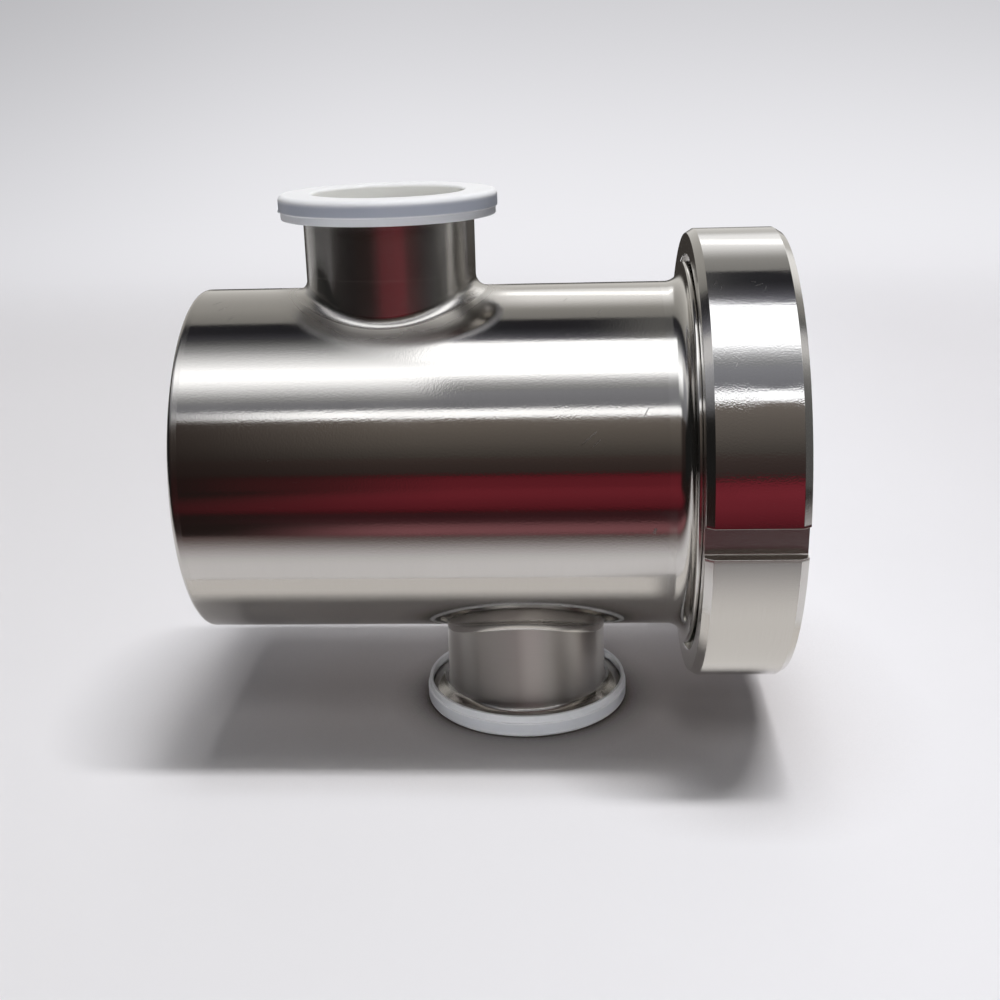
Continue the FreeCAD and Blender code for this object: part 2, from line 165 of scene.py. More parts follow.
def rescale(tree, value, low, high, to_low, to_high, smooth=False):
    """Maps a range onto another, with or without soft ends."""
    made = add_node(
        tree, "ShaderNodeMapRange",
        {"interpolation_type": "SMOOTHSTEP" if smooth else "LINEAR"},
        Value=value, From_Min=low, From_Max=high, To_Min=to_low, To_Max=to_high,
    )
    return made.outputs["Result"]


def distance(tree, a, b):
    """The length of a step that goes a one way and b square to it."""
    return calc(tree, "SQRT", calc(tree, "ADD", product(tree, a, a), product(tree, b, b)))


def noise(tree, place, scale, detail, roughness=0.5):
    """Soft random spots, as a value that wanders round one half."""
    return add_node(
        tree, "ShaderNodeTexNoise", Vector=place, Scale=scale, Detail=detail, Roughness=roughness
    ).outputs["Fac"]


def bumped(tree, strength, depth, height, **under):
    """Tilts the surface by a height, over another bump if one is given as Normal."""
    return add_node(
        tree, "ShaderNodeBump", Strength=strength, Distance=depth, Height=height, **under
    ).outputs[0]


def mixed(tree, share, first, second, blend_type="MIX"):
    """Mixes two colours, each a plain (r, g, b) or another node's output."""
    made = add_node(
        tree, "ShaderNodeMix", {"data_type": "RGBA", "blend_type": blend_type}, Factor=share
    )
    for number, colour in ((6, first), (7, second)):
        linked = isinstance(colour, bpy.types.NodeSocket)
        plug(tree, made.inputs[number], colour if linked else (*colour, 1))
    return made.outputs[2]


def layered(tree, output, share, below, above):
    """Shows one shader over another, by a share."""
    blend = add_node(tree, "ShaderNodeMixShader", Fac=share)
    tree.links.new(below.outputs[0], blend.inputs[1])
    tree.links.new(above.outputs[0], blend.inputs[2])
    tree.links.new(blend.outputs[0], output.inputs["Surface"])


def shaded(tree, output, **inputs):
    """Adds a Principled shader with these inputs and shows it."""
    shader = add_node(tree, "ShaderNodeBsdfPrincipled", **inputs)
    tree.links.new(shader.outputs[0], output.inputs["Surface"])


def shade_of(colour, share):
    """A colour made darker or lighter, and never brighter than white."""
    return [min(1, share * value) for value in colour]


def new_material(name):
    """An empty material: returns it, its node tree and its output node."""
    material = bpy.data.materials.new(name)
    material.use_nodes = True
    tree = material.node_tree
    tree.nodes.clear()
    return material, tree, tree.nodes.new("ShaderNodeOutputMaterial")


print("helpers ready")

# %% [markdown]
# ## Floor and backdrop
# The fitting stands on pale seamless paper that curves up behind it. One strip of mesh does for
# both: flat, then a quarter round, then upright. The flat part is plain diffuse paper with the
# faintest mottling, and it takes the soft shadow. Its colour is painted a shade darker to both
# sides, as painted falloff of the light. Close under the fitting, painted shade turns it darker
# and warmer, where steel shuts out the room, which anchors the piece. Far lamps would leave the
# upright part dull, so from the curve on, the paper shows a painted glow of its own, which falls
# off slowly with height and is dimmer to both sides. Only camera, glossy and transmission rays see
# that glow, so it puts no light on the fitting.

# %% Floor and backdrop
FLOOR_SIDE = 2.4
SWEEP_START = 0.95
SWEEP_RADIUS = 0.55
SWEEP_STEPS = 24
SWEEP_TOP = 1.7
PAPER = (0.835, 0.83, 0.86)
PAPER_LEFT_PAINTED_SHADE = (0.745, 0.735, 0.752)
PAPER_RIGHT_PAINTED_SHADE = (0.748, 0.738, 0.762)
BACKDROP_LOW, BACKDROP_HIGH = 0.895, 0.60
PAINTED_UNDER_SHADE = (0.50, 0.45, 0.41)
PAINTED_CONTACT_SHADE = (0.12, 0.10, 0.09)

sweep_line = [(-FLOOR_SIDE, 0.0), (SWEEP_START, 0.0)]
for step in range(1, SWEEP_STEPS + 1):
    bend = math.radians(90 * step / SWEEP_STEPS)
    sweep_line.append((
        SWEEP_START + SWEEP_RADIUS * math.sin(bend),
        SWEEP_RADIUS * (1 - math.cos(bend)),
    ))
sweep_line.append((SWEEP_START + SWEEP_RADIUS, SWEEP_TOP))

paper_mesh = strip_mesh(
    "paper", [[(side * FLOOR_SIDE, y, z) for side in (-1, 1)] for y, z in sweep_line]
)
paper_mesh.shade_smooth()
paper = placed("paper", paper_mesh)


def showing_rays(tree):
    """1 for rays that show this to the camera, 0 for rays that carry light to a matt surface."""
    rays = add_node(tree, "ShaderNodeLightPath")
    seen = calc(tree, "MAXIMUM", rays.outputs["Is Camera Ray"], rays.outputs["Is Glossy Ray"])
    seen = calc(tree, "MAXIMUM", seen, rays.outputs["Is Transmission Ray"])
    return calc(tree, "SUBTRACT", seen, rays.outputs["Diffuse Depth"], clamp=True)


paper_material, tree, output = new_material("seamless_paper")
place = add_node(tree, "ShaderNodeTexCoord").outputs["Object"]
mottle = noise(tree, place, 6.0, 3.0)
spot = add_node(tree, "ShaderNodeSeparateXYZ", Vector=place)
colour = mixed(
    tree, rescale(tree, mottle, 0.35, 0.65, 0.0, 1.0), PAPER, shade_of(PAPER, 0.985)
)
# Painted shade of the light's falloff: the paper's colour darkens towards the left and the right.
for shade, far_x, near_x in ((PAPER_LEFT_PAINTED_SHADE, -0.30, 0.16), (PAPER_RIGHT_PAINTED_SHADE, 0.32, 0.08)):
    share = rescale(tree, spot.outputs["X"], far_x, near_x, 0.0, 1.0, True)
    colour = mixed(tree, share, shade, colour)
# Painted shade: ambient occlusion darkens and warms the paper's colour close under the fitting.
for around, closed, clear, tint in ((0.055, 0.15, 0.95, PAINTED_UNDER_SHADE), (0.014, 0.45, 0.99, PAINTED_CONTACT_SHADE)):
    covered = add_node(tree, "ShaderNodeAmbientOcclusion", {"samples": 3}, Distance=around)
    share = rescale(tree, covered.outputs["AO"], closed, clear, 1.0, 0.0)
    colour = mixed(tree, share, colour, tint, "MULTIPLY")
paper_shader = add_node(
    tree, "ShaderNodeBsdfPrincipled", Base_Color=colour, Roughness=0.9, Specular_IOR_Level=0.1
)
# The backdrop's painted glow falls off with height and is dimmer to both sides.
height_level = rescale(tree, spot.outputs["Z"], -0.04, 0.42, BACKDROP_LOW, BACKDROP_HIGH, True)
left_level = rescale(tree, spot.outputs["X"], -0.95, -0.15, 0.77, 1.0, True)
right_level = rescale(tree, spot.outputs["X"], 0.25, 1.0, 1.0, 0.92, True)
backdrop = add_node(
    tree, "ShaderNodeEmission", Color=(0.97, 0.965, 1.0, 1),
    Strength=product(tree, height_level, left_level, right_level),
)
far = rescale(tree, spot.outputs["Y"], 0.55, 1.15, 0.0, 1.0, True)
layered(tree, output, product(tree, far, showing_rays(tree)), paper_shader, backdrop)
paper_mesh.materials.append(paper_material)
print("paper from", sweep_line[0], "to", sweep_line[-1])

# %% [markdown]
# ## Lamps and the surrounding light
# Four soft panels hang three metres up, like the lights of a bright workroom. Two overhead give the
# broad shadow with its straight edge, one further to the front draws a second, fainter edge in it,
# and one at the back softens it. A weak low panel in front lifts the upright faces in the shadow.
# The world adds an even fill. None of them is seen by glossy rays: what the steel mirrors is set
# with cards in the next step, so light and reflections can be tuned apart.

# %% Lamps and world
LAMP_HEIGHT = 3.0
LAMPS = {
    "long_panel": {"lean": (0.21, -0.01), "span": (0.35, 0.07), "watts": 52.0},
    "square_panel": {"lean": (0.03, 0.03), "span": (0.25, 0.34), "watts": 25.0},
    "front_panel": {"lean": (0.05, -0.72), "span": (0.10, 0.40), "watts": 17.0},
    "back_panel": {"lean": (0.01, 0.70), "span": (0.25, 0.94), "watts": 8.0},
}
LOW_PANEL = {
    "place": (0.0, -1.30, 0.16), "aim": (0, 0, 0.02), "side": 0.22, "watts": 0.13,
    "spread": math.radians(26),
}
FILL = 0.01
FILL_TINT = (1.0, 0.97, 0.93, 1)
PALE = (0.80, 0.80, 0.82, 1)


def panel(name, place, watts):
    """An area lamp that glossy rays don't see: returns its light and its object."""
    light = bpy.data.lights.new(name, "AREA")
    light.energy = watts
    lamp = placed(name, light)
    lamp.location = place
    lamp.visible_glossy = False
    return light, lamp


for name, facts in LAMPS.items():
    light, _ = panel(
        name, [LAMP_HEIGHT * lean for lean in facts["lean"]] + [LAMP_HEIGHT], facts["watts"]
    )
    light.shape = "RECTANGLE"
    light.size, light.size_y = [LAMP_HEIGHT * span for span in facts["span"]]

light, low_panel = panel("low_panel", LOW_PANEL["place"], LOW_PANEL["watts"])
light.size, light.spread = LOW_PANEL["side"], LOW_PANEL["spread"]
aim = Vector(LOW_PANEL["aim"]) - low_panel.location
low_panel.rotation_euler = aim.to_track_quat("-Z", "Y").to_euler()

world = bpy.data.worlds.new("studio")
world.use_nodes = True
bpy.context.scene.world = world
tree = world.node_tree
tree.nodes.clear()
fill = add_node(tree, "ShaderNodeBackground", Color=FILL_TINT, Strength=FILL)
pale = add_node(tree, "ShaderNodeBackground", Color=PALE, Strength=1.0)
layered(tree, tree.nodes.new("ShaderNodeOutputWorld"), showing_rays(tree), fill, pale)
print("lamps:", list(LAMPS), "fill", FILL)

# %% [markdown]
# ## Reflection cards
# A polished cylinder is a mirror that looks all the way round itself, so a photographer shapes it
# with cards. Each card here is a curved strip that runs along the tube and covers some degrees of
# the arch over it: 0 is towards the viewer, 90 straight up, 180 away. A card has levels of
# brightness across it, and soft borders where a real cloth or shadow has them. Only glossy rays see
# the cards, so they light nothing and hide nothing.

# %% Card maker
AXIS_HEIGHT = AXIS_MM * MM
ARCH_RADIUS = 0.90


def card_material(name, levels, tint, soft_across, soft_along, density):
    """Glow with levels (share of the way across, brightness), fading out at its borders."""
    material, tree, output = new_material(name)
    spot = add_node(
        tree, "ShaderNodeSeparateXYZ", Vector=add_node(tree, "ShaderNodeUVMap").outputs["UV"]
    )
    along, across = spot.outputs["X"], spot.outputs["Y"]
    ramp = add_node(tree, "ShaderNodeValToRGB", Fac=across)
    stops = ramp.color_ramp.elements
    while len(stops) < len(levels):
        stops.new(0.5)
    for stop, (share, level) in zip(stops, levels):
        stop.position = share
        stop.color = (*[level * part for part in tint], 1)
    glow = add_node(tree, "ShaderNodeEmission", Color=ramp.outputs["Color"], Strength=1.0)
    cover = product(tree, density, showing_rays(tree))
    for value, (low_soft, high_soft) in ((across, soft_across), (along, soft_along)):
        if low_soft:
            cover = product(tree, cover, rescale(tree, value, 0, low_soft, 0, 1, True))
        if high_soft:
            cover = product(tree, cover, rescale(tree, value, 1 - high_soft, 1, 1, 0, True))
    layered(tree, output, cover, add_node(tree, "ShaderNodeBsdfTransparent"), glow)
    return material


def card(name, corners, levels, tint=(1, 1, 1), soft_across=(0, 0), soft_along=(0, 0), density=1.0):
    """A strip through pairs of points, (left, right) for each step across it."""
    mesh = strip_mesh(name, corners)
    uv = mesh.uv_layers.new(name="card")
    for loop in mesh.loops:
        row, side = divmod(loop.vertex_index, 2)
        uv.data[loop.index].uv = (side, row / (len(corners) - 1))
    mesh.materials.append(card_material(name, levels, tint, soft_across, soft_along, density))
    strip = placed(name, mesh)
    for unseen in ("camera", "diffuse", "transmission", "volume_scatter", "shadow"):
        setattr(strip, f"visible_{unseen}", False)


def spread(low, high, stops):
    """Levels across a card: stops in degrees or millimetres become shares of the way from low to
    high, and a single number is the same level all the way."""
    if not isinstance(stops, list):
        stops = [(low, stops), (high, stops)]
    return [((place - low) / (high - low), level) for place, level in stops]


def arch_card(name, low, high, left, right, stops, nearer=0.0, slant=0.0, **finish):
    """A card bent round the tube's axis, from low to high degrees. nearer hangs it in front of
    others, and slant lifts its right end by some degrees."""
    steps = max(2, round(abs(high - low) / 3))
    radius = ARCH_RADIUS - nearer
    corners = []
    for step in range(steps + 1):
        pair = []
        for x, lift in ((left, 0.0), (right, slant)):
            angle = math.radians(low + (high - low) * step / steps + lift)
            pair.append((x, -radius * math.cos(angle), AXIS_HEIGHT + radius * math.sin(angle)))
        corners.append(pair)
    card(name, corners, spread(low, high, stops), **finish)


def floor_card(name, near, far, left, right, stops, height=0.6, **finish):
    """A card that lies on the floor, from near to far in millimetres in front of the axis."""
    corners = [[(x, -y * MM, height * MM) for x in (left, right)] for y in (near, far)]
    card(name, corners, spread(near, far, stops), **finish)


print("arch radius", ARCH_RADIUS)

# %% [markdown]
# On the floor, the paper fades into a dark table edge a hand's width in front of the fitting, with
# dark red cards beyond it and in front, so the tube gets its dark warm middle. Two pale strips
# close by keep the undersides bright down to their edges. The wall above them is brown and grows
# paler upwards. Black cards at its left give the tube's blind end its shade.

# %% Low cards
CARD_END = 1.3
BLACK = (0.020, 0.013, 0.012)
ROSE = (1.0, 0.40, 0.45)
WINE = (1.0, 0.125, 0.18)
BROWN = (1.0, 0.88, 0.79)
PAPER_STEP = 0.058

floor_card("paper_fade", 84, 152, -CARD_END, PAPER_STEP, 0.13, 0.4,
           tint=(1.0, 0.72, 0.70), soft_across=(1.0, 0))
floor_card("paper_fade_right", 72, 172, PAPER_STEP, CARD_END, 0.30, 0.4,
           tint=(1.0, 0.96, 0.97), soft_across=(1.0, 0))
floor_card("table_black", 152, 900, -CARD_END, CARD_END, 1, 0.3, tint=BLACK)
floor_card("table_rose", 146, 205, -0.125, PAPER_STEP,
           [(146, 0.13), (162, 0.27), (180, 0.22), (205, 0.08)],
           tint=ROSE, soft_across=(0.1, 0.1), soft_along=(0.45, 0))
floor_card("table_rose_right", 168, 262, PAPER_STEP, 0.42, [(168, 0.09), (262, 0.045)],
           tint=(1.0, 0.55, 0.62), soft_across=(0.04, 0.1), soft_along=(0, 0.3))
floor_card("table_gap", 200, 262, -0.16, PAPER_STEP, [(200, 0.09), (232, 0.042), (262, 0.06)],
           tint=(1.0, 0.32, 0.38), soft_across=(0.15, 0.15), soft_along=(0.45, 0))
floor_card("table_red", 255, 895, -0.27, 0.42,
           [(255, 0.065), (313, 0.135), (490, 0.185), (895, 0.20)],
           tint=WINE, soft_across=(0.03, 0), soft_along=(0.33, 0.15))

floor_card("near_light", 33, 70, -0.14, 0.050, [(33, 0.60), (48, 0.74), (70, 0.74)], 0.2,
           tint=(1.0, 0.97, 0.95), soft_across=(0.55, 0.1), soft_along=(0.1, 0.05))
floor_card("nut_light", 8, 175, 0.052, 0.125, [(8, 0.74), (85, 0.74), (175, 0.66)], 0.2,
           tint=(1.0, 0.965, 0.93), soft_across=(0.12, 0), soft_along=(0.08, 0.1))

arch_card("front_black", -5.35, 14, -CARD_END, CARD_END, 1, tint=BLACK)
arch_card("front_red", -5.3, 4.4, -0.36, 0.42, [(-5.3, 0.16), (1, 0.15), (4.4, 0.07)],
          nearer=0.01, tint=WINE, soft_across=(0, 0.15), soft_along=(0.10, 0.15))
arch_card("front_red_right", -5.3, 2.6, 0.125, 0.42, [(-5.3, 0.25), (2.6, 0.19)],
          nearer=0.02, tint=WINE, soft_across=(0, 0.1), soft_along=(0.1, 0.3))
arch_card("front_dark", 3.4, 15, -CARD_END, CARD_END, [(3.4, 0.040), (10, 0.052), (15, 0.068)],
          nearer=0.02, tint=(1.0, 0.72, 0.66), soft_across=(0.12, 0.12))
arch_card("front_brown", 13.5, 40, -CARD_END, CARD_END,
          [(13.5, 0.062), (17.5, 0.083), (23.6, 0.120), (29.8, 0.150), (40, 0.215)], tint=BROWN)
arch_card("front_shade", -5.2, 38.6, -CARD_END, -0.10, 1, nearer=0.03,
          tint=BLACK, density=0.82, soft_along=(0, 0.24))
arch_card("front_shade_low", -5.2, 3.6, -CARD_END, -0.07, 1, nearer=0.04,
          tint=BLACK, density=0.55, soft_across=(0, 0.1), soft_along=(0, 0.13))

# %% [markdown]
# The brown wall ends at one thin bright slit. Overhead hang two white diffusers, which meet at a
# crisp edge, then comes a dark gap, and behind it a pale wall with a bright strip. Upright cards
# close the arch at both ends, for the steel that faces sideways, and a low one stands behind the
# fitting.

# %% High cards
SPLIT_HIGH, SPLIT_LOW, SPLIT_RIGHT = -0.127, -0.105, 0.135
COOL = (0.93, 0.93, 1.10)
CLOTH = (1.0, 1.02, 1.06)

arch_card("front_slit", 38.9, 44.6, -0.42, 1.0, 1.8, nearer=0.02,
          tint=CLOTH, soft_across=(0.08, 0.08), soft_along=(0.17, 0))
arch_card("front_grey", 39, 72, -CARD_END, CARD_END,
          [(39, 0.22), (46, 0.24), (58, 0.32), (72, 0.5)], tint=(0.98, 1.0, 1.10))
arch_card("left_diffuser", 49, 99, -0.62, SPLIT_LOW,
          [(49, 0.3), (53, 0.40), (58.5, 0.95), (64, 1.6), (67, 1.9), (73, 1.8), (76, 1.4),
           (82, 0.90), (88, 0.42), (95, 0.12), (99, 0.05)],
          nearer=0.03, tint=CLOTH, soft_across=(0.06, 0.06), soft_along=(0.3, 0))
arch_card("diffuser_low", 56, 78, SPLIT_LOW, 1.0,
          [(56, 0.28), (59, 0.38), (62, 0.60), (65, 1.15), (68, 2.0), (78, 2.0)],
          nearer=0.03, tint=CLOTH, soft_across=(0.05, 0))
arch_card("diffuser_high", 77.5, 92.6, SPLIT_HIGH, SPLIT_RIGHT, 2.0,
          nearer=0.04, tint=CLOTH, soft_across=(0, 0.04))
arch_card("diffuser_right", 77.5, 89.7, SPLIT_RIGHT, 1.0, 2.0, nearer=0.04,
          tint=CLOTH, soft_across=(0, 0.04))
arch_card("top_gap", 88, 112.6, -CARD_END, CARD_END,
          [(88, 0.26), (93, 0.18), (96, 0.10), (100, 0.052), (104, 0.026), (112.6, 0.026)],
          tint=COOL)
arch_card("gap_patch", 92, 112.6, 0.035, 0.145, [(92, 0.30), (100, 0.15), (112.6, 0.13)],
          nearer=0.01, soft_along=(0.6, 0.05))
arch_card("back_pale", 112.6, 176, -CARD_END, CARD_END,
          [(112.6, 0.27), (118, 0.31), (128, 0.40), (140, 0.46), (155, 0.58), (176, 0.80)],
          tint=(1.0, 0.98, 0.94))
arch_card("back_glow", 122, 158, -0.12, 1.0, [(122, 1.2), (150, 1.2), (158, 0.75)], nearer=0.02,
          soft_across=(0.5, 0.15), soft_along=(0.1, 0.1), density=0.9)
arch_card("back_strip", 145.0, 151.5, -0.08, 0.45, 1.9, nearer=0.03,
          slant=-14.0, soft_across=(0.08, 0.08), soft_along=(0.1, 0.1))

WALL, WALL_REACH, WALL_HEIGHT = 0.75, 0.90, 0.60
left_stops = [(-0.90, 0.015), (0.22, 0.015), (0.32, 0.19), (0.66, 0.38), (0.90, 0.60)]
right_stops = [
    (-0.90, 0.022), (-0.60, 0.03), (-0.30, 0.09), (-0.06, 0.20), (-0.01, 0.22), (0.01, 0.85),
    (0.10, 0.80), (0.14, 0.06), (0.45, 0.09), (0.70, 0.32), (0.90, 0.60),
]
for side, name, stops in ((-1, "left_wall", left_stops), (1, "right_wall", right_stops)):
    corners = [
        [(side * WALL, y, z) for z in (0.0, WALL_HEIGHT)] for y in (-WALL_REACH, WALL_REACH)
    ]
    card(name, corners, spread(-WALL_REACH, WALL_REACH, stops), soft_along=(0, 0.3))
card("back_low", [((-0.36, 0.30, z), (0.40, 0.30, z)) for z in (0.0, 0.185)],
     spread(0, 1, 0.045), tint=BROWN, soft_across=(0, 0.25), soft_along=(0.15, 0.15))

# %% [markdown]
# ## Steel finishes
# All the steel is one metal with different grinding. A Principled shader with Metallic at 1 gives
# the mirror, and its roughness says how blurred the mirror is. Fine grinding blurs reflections a
# little more across its lines than along them. That is anisotropy, which needs a tangent that runs
# round the same axis. Under that lie three small patterns: a fine grain that makes the edges of
# reflections sparkle, grinding lines, and faint clouds in the roughness.

# %% Steel maker


def joined(tree, x, y, z):
    """A vector from its three parts."""
    return add_node(tree, "ShaderNodeCombineXYZ", X=x, Y=y, Z=z).outputs[0]


def round_position(tree, axis, centre):
    """Along a turned piece's axis, round it and out from it, the direction round it, and the
    place measured from the centre."""
    spot = add_node(tree, "ShaderNodeTexCoord").outputs["Object"]
    local = add_node(tree, "ShaderNodeVectorMath", {"operation": "SUBTRACT"})
    tree.links.new(spot, local.inputs[0])
    local.inputs[1].default_value = centre
    parts = add_node(tree, "ShaderNodeSeparateXYZ", Vector=local.outputs[0])
    along = parts.outputs["X" if axis == "X" else "Z"]
    across = parts.outputs["Z" if axis == "X" else "X"]
    side = parts.outputs["Y"]
    back = product(tree, across, -1)
    if axis == "X":
        angle = calc(tree, "ARCTAN2", side, across)
        swirl = joined(tree, 0, back, side)
    else:
        angle = calc(tree, "ARCTAN2", across, product(tree, side, -1))
        swirl = joined(tree, side, back, 0)
    tangent = add_node(
        tree, "ShaderNodeVectorTransform",
        {"vector_type": "VECTOR", "convert_from": "OBJECT", "convert_to": "WORLD"}, Vector=swirl,
    )
    return along, angle, distance(tree, across, side), tangent.outputs[0], parts


def stretched(tree, along, round_way, out, scales):
    """A vector for a texture, with its own scale in each of the three directions."""
    ways = zip((along, round_way, out), scales)
    return joined(tree, *[product(tree, way, scale) for way, scale in ways])


def scuff(tree, along, arc, middle, slope, length, width):
    """1 on a short straight scratch, 0 off it. middle is (along, round) in metres."""
    a = calc(tree, "SUBTRACT", along, middle[0])
    b = calc(tree, "SUBTRACT", arc, middle[1])
    lean = math.radians(slope)
    cosine, sine = math.cos(lean), math.sin(lean)
    down = calc(tree, "ADD", product(tree, a, cosine), product(tree, b, sine))
    off = calc(tree, "SUBTRACT", product(tree, b, cosine), product(tree, a, sine))
    long_way = rescale(tree, calc(tree, "ABSOLUTE", down), 0.3 * length, 0.5 * length, 1, 0, True)
    thin_way = rescale(tree, calc(tree, "ABSOLUTE", off), 0, 0.5 * width, 1, 0, True)
    return product(tree, long_way, thin_way)


def near_neck(tree, parts, place, above, from_reach, to_reach):
    """1 close to a neck's foot on the tube, fading to 0."""
    a = calc(tree, "SUBTRACT", parts.outputs["X"], place)
    reach = distance(tree, a, parts.outputs["Y"])
    mask = rescale(tree, reach, from_reach, to_reach, 1, 0, True)
    half = calc(tree, "GREATER_THAN" if above else "LESS_THAN", parts.outputs["Z"], 0.0)
    return product(tree, mask, half)


def steel(name, colour, axis, centre, radius, roughness, anisotropy, grain, lines, cloud=0.02,
          feet=(), scuffs=(), stain=0.6, handled=0.0, painted_bands=0.0):
    """Ground stainless steel. grain and lines are bump strengths. feet are neck places with a
    matt ring round them, scuffs are short scratches that stain the metal a little, handled is how
    patchy the grain is, and bands sets how strongly painted reflection stripes darken the colour
    round it."""
    material, tree, output = new_material(name)
    along, angle, out, tangent, parts = round_position(tree, axis, centre)
    arc = product(tree, angle, radius)
    even = stretched(tree, along, arc, out, (1, 1, 1))
    specks = noise(tree, even, 1700.0, 2.0, 0.55)
    ground = noise(tree, stretched(tree, along, arc, out, (5200, 90, 5200)), 1.0, 3.0)
    clouds = noise(tree, even, 38.0, 4.0)
    rough = rescale(tree, clouds, 0.3, 0.7, roughness - cloud, roughness + cloud)
    height = calc(tree, "SUBTRACT", specks, 0.5)
    if handled:
        patches = rescale(tree, clouds, 0.44, 0.60, 1.0 - handled, 1.0, True)
        height = product(tree, height, patches)
    for place, above in feet:
        mask = near_neck(tree, parts, place, above, 0.0300, 0.0400)
        rough = calc(tree, "ADD", rough, product(tree, mask, 0.20))
    base = mixed(tree, ground, shade_of(colour, 0.965), shade_of(colour, 1.03))
    # Painted reflection stripes: noise round the neck darkens the colour with a pinkish tint.
    if painted_bands:
        painted_stripe_noise = noise(tree, stretched(tree, along, arc, out, (6, 70, 0)), 1.0, 1.0)
        painted_stripe = rescale(tree, painted_stripe_noise, 0.38, 0.62, 0.0, 1.0, True)
        base = mixed(tree, product(tree, painted_stripe, painted_bands), base, (0.50, 0.45, 0.46), "MULTIPLY")
    if scuffs:
        marks = 0.0
        for mark in scuffs:
            marks = calc(tree, "MAXIMUM", marks, scuff(tree, along, arc, *mark))
        base = mixed(tree, product(tree, marks, stain), base, shade_of(colour, 0.55))
        rough = calc(tree, "ADD", rough, product(tree, marks, 0.25))
    bump = bumped(tree, lines, 0.00002, ground, Normal=bumped(tree, grain, 0.000045, height))
    shaded(
        tree, output, Base_Color=base, Metallic=1.0, Roughness=rough, Anisotropic=anisotropy,
        Anisotropic_Rotation=0.25, Normal=bump, Tangent=tangent,
    )
    return material


# %% [markdown]
# Several finishes come out of that one function. The tube is polished but speckled, and matt in a
# narrow ring round each neck, where the joint was blended by hand. The necks are ground round and
# round, which smears what they mirror up and down, and painted reflection stripes darken their
# colour round them. The clamp rims' backs have a darker colour, which is painted shade, and calmer
# grinding.
# The turned rings carry fine lathe lines, and the ring nut's outside is turned so finely that it is
# almost a mirror, marked here and there by handling. Its faces and chamfers are plainer, and its
# slots are milled matt.

# %% Steel finishes
TUBE_R = TUBE_RADIUS * MM
NUT_R = NUT_RADIUS * MM
STEEL = (0.60, 0.578, 0.545)
TURNED = (0.62, 0.600, 0.568)
BRIGHT = (0.66, 0.645, 0.625)
# The clamp rims' colour is darker than the other steel as painted shade.
RIM_STEEL_PAINTED_SHADE = (0.47, 0.45, 0.425)
TUBE_CENTRE = (0, 0, AXIS_HEIGHT)


def mark(radius, x_mm, degrees, slope, length, width):
    """A scratch on a cylinder: its place along it and down from the top to the front, its slope
    in degrees, and its size in mm."""
    return (x_mm * MM, -math.radians(degrees) * radius), slope, length * MM, width * MM


TUBE_MARKS = [mark(TUBE_R, *place) for place in (
    (-91.0, 14, 48, 4.2, 0.5), (-88.5, 18, 48, 3.6, 0.4), (-85.0, 24, 55, 3.0, 0.4),
    (14.3, 16, 60, 3.0, 0.4), (24.4, 24, 60, 4.0, 0.4), (36.5, 62, 62, 4.0, 0.5),
    (20.5, 69.5, 42, 7.0, 0.6), (22.5, 71, 42, 4.5, 0.5), (-70.0, 75, 20, 1.2, 1.0),
    (38.9, 98, 70, 2.2, 1.4),
)]
NUT_MARKS = [mark(NUT_R, *place) for place in (
    (52.8, 51.0, 25, 3.2, 0.3), (55.0, 52.6, -30, 2.6, 0.3), (57.0, 51.2, 60, 1.8, 0.3),
    (62.2, 51.4, 12, 4.4, 0.3), (65.3, 50.6, -28, 3.4, 0.3), (60.0, 54.5, 70, 1.6, 0.4),
    (56.0, 32.0, 65, 2.2, 0.5), (57.6, 33.4, 80, 1.8, 0.4), (68.0, 32.6, 20, 3.0, 0.4),
    (69.6, 33.8, 75, 2.4, 0.4), (66.5, 31.6, -20, 1.8, 0.3),
)]
satin = steel("satin_tube", STEEL, "X", TUBE_CENTRE, TUBE_R, 0.085, 0.0, 0.27, 0.05,
              feet=[(x * MM, side > 0) for _, x, side in PORTS], scuffs=TUBE_MARKS)
blended = steel("blended_bend", STEEL, "X", TUBE_CENTRE, TUBE_R, 0.26, 0.0, 0.60, 0.05)
blind_face = steel("satin_end", STEEL, "X", TUBE_CENTRE, 0.030, 0.20, 0.45, 0.12, 0.06)
turned_ring = steel("turned_ring", TURNED, "X", TUBE_CENTRE, 0.058, 0.13, 0.40, 0.05, 0.05)
punched = steel("punched_sheet", STEEL, "X", TUBE_CENTRE, 0.040, 0.30, 0.20, 0.12, 0.04)
NECK_LOOKS = {"inlet": (0.23, 0.95, 0.45, 0.10), "outlet": (0.33, 1.0, 0.45, 0.10)}
NECK_PAINTED_BANDS = {"inlet": 0.30, "outlet": 0.45}
necks, flanges = {}, {}
for port, x, _ in PORTS:
    centre = (x * MM, 0, 0)
    necks[port] = steel(
        f"{port}_neck", TURNED, "Z", centre, 0.026, *NECK_LOOKS[port], painted_bands=NECK_PAINTED_BANDS[port]
    )
    flanges[port] = steel(f"{port}_flange", RIM_STEEL_PAINTED_SHADE, "Z", centre, 0.030, 0.19, 0.40, 0.06, 0.03)
mirror = steel("bright_nut", BRIGHT, "X", TUBE_CENTRE, NUT_R, 0.11, 0.90, 0.50, 0.02, 0.015,
               scuffs=NUT_MARKS, stain=0.0, handled=0.7)
nut_faces = steel("nut_faces", TURNED, "X", TUBE_CENTRE, 0.062, 0.15, 0.60, 0.20, 0.05)
milled = steel("milled_slot", TURNED, "X", TUBE_CENTRE, 0.066, 0.22, 0.0, 0.60, 0.05)
print("steel finishes:", *[
    made.name for made in (satin, turned_ring, mirror, *necks.values(), *flanges.values())
])

# %% [markdown]
# ## Smooth outlines
# Every real edge is a little round, and that roundness is what catches the light. An outline here
# is a list of corners, each with its own rounding. The helper walks along it and gives back points
# and the exact direction that the surface faces at each one. With exact normals, flat faces stay
# flat in the mirror right up to their edges, which averaged normals can't do.

# %% Rounded outline
ARC_STEP = math.radians(11)


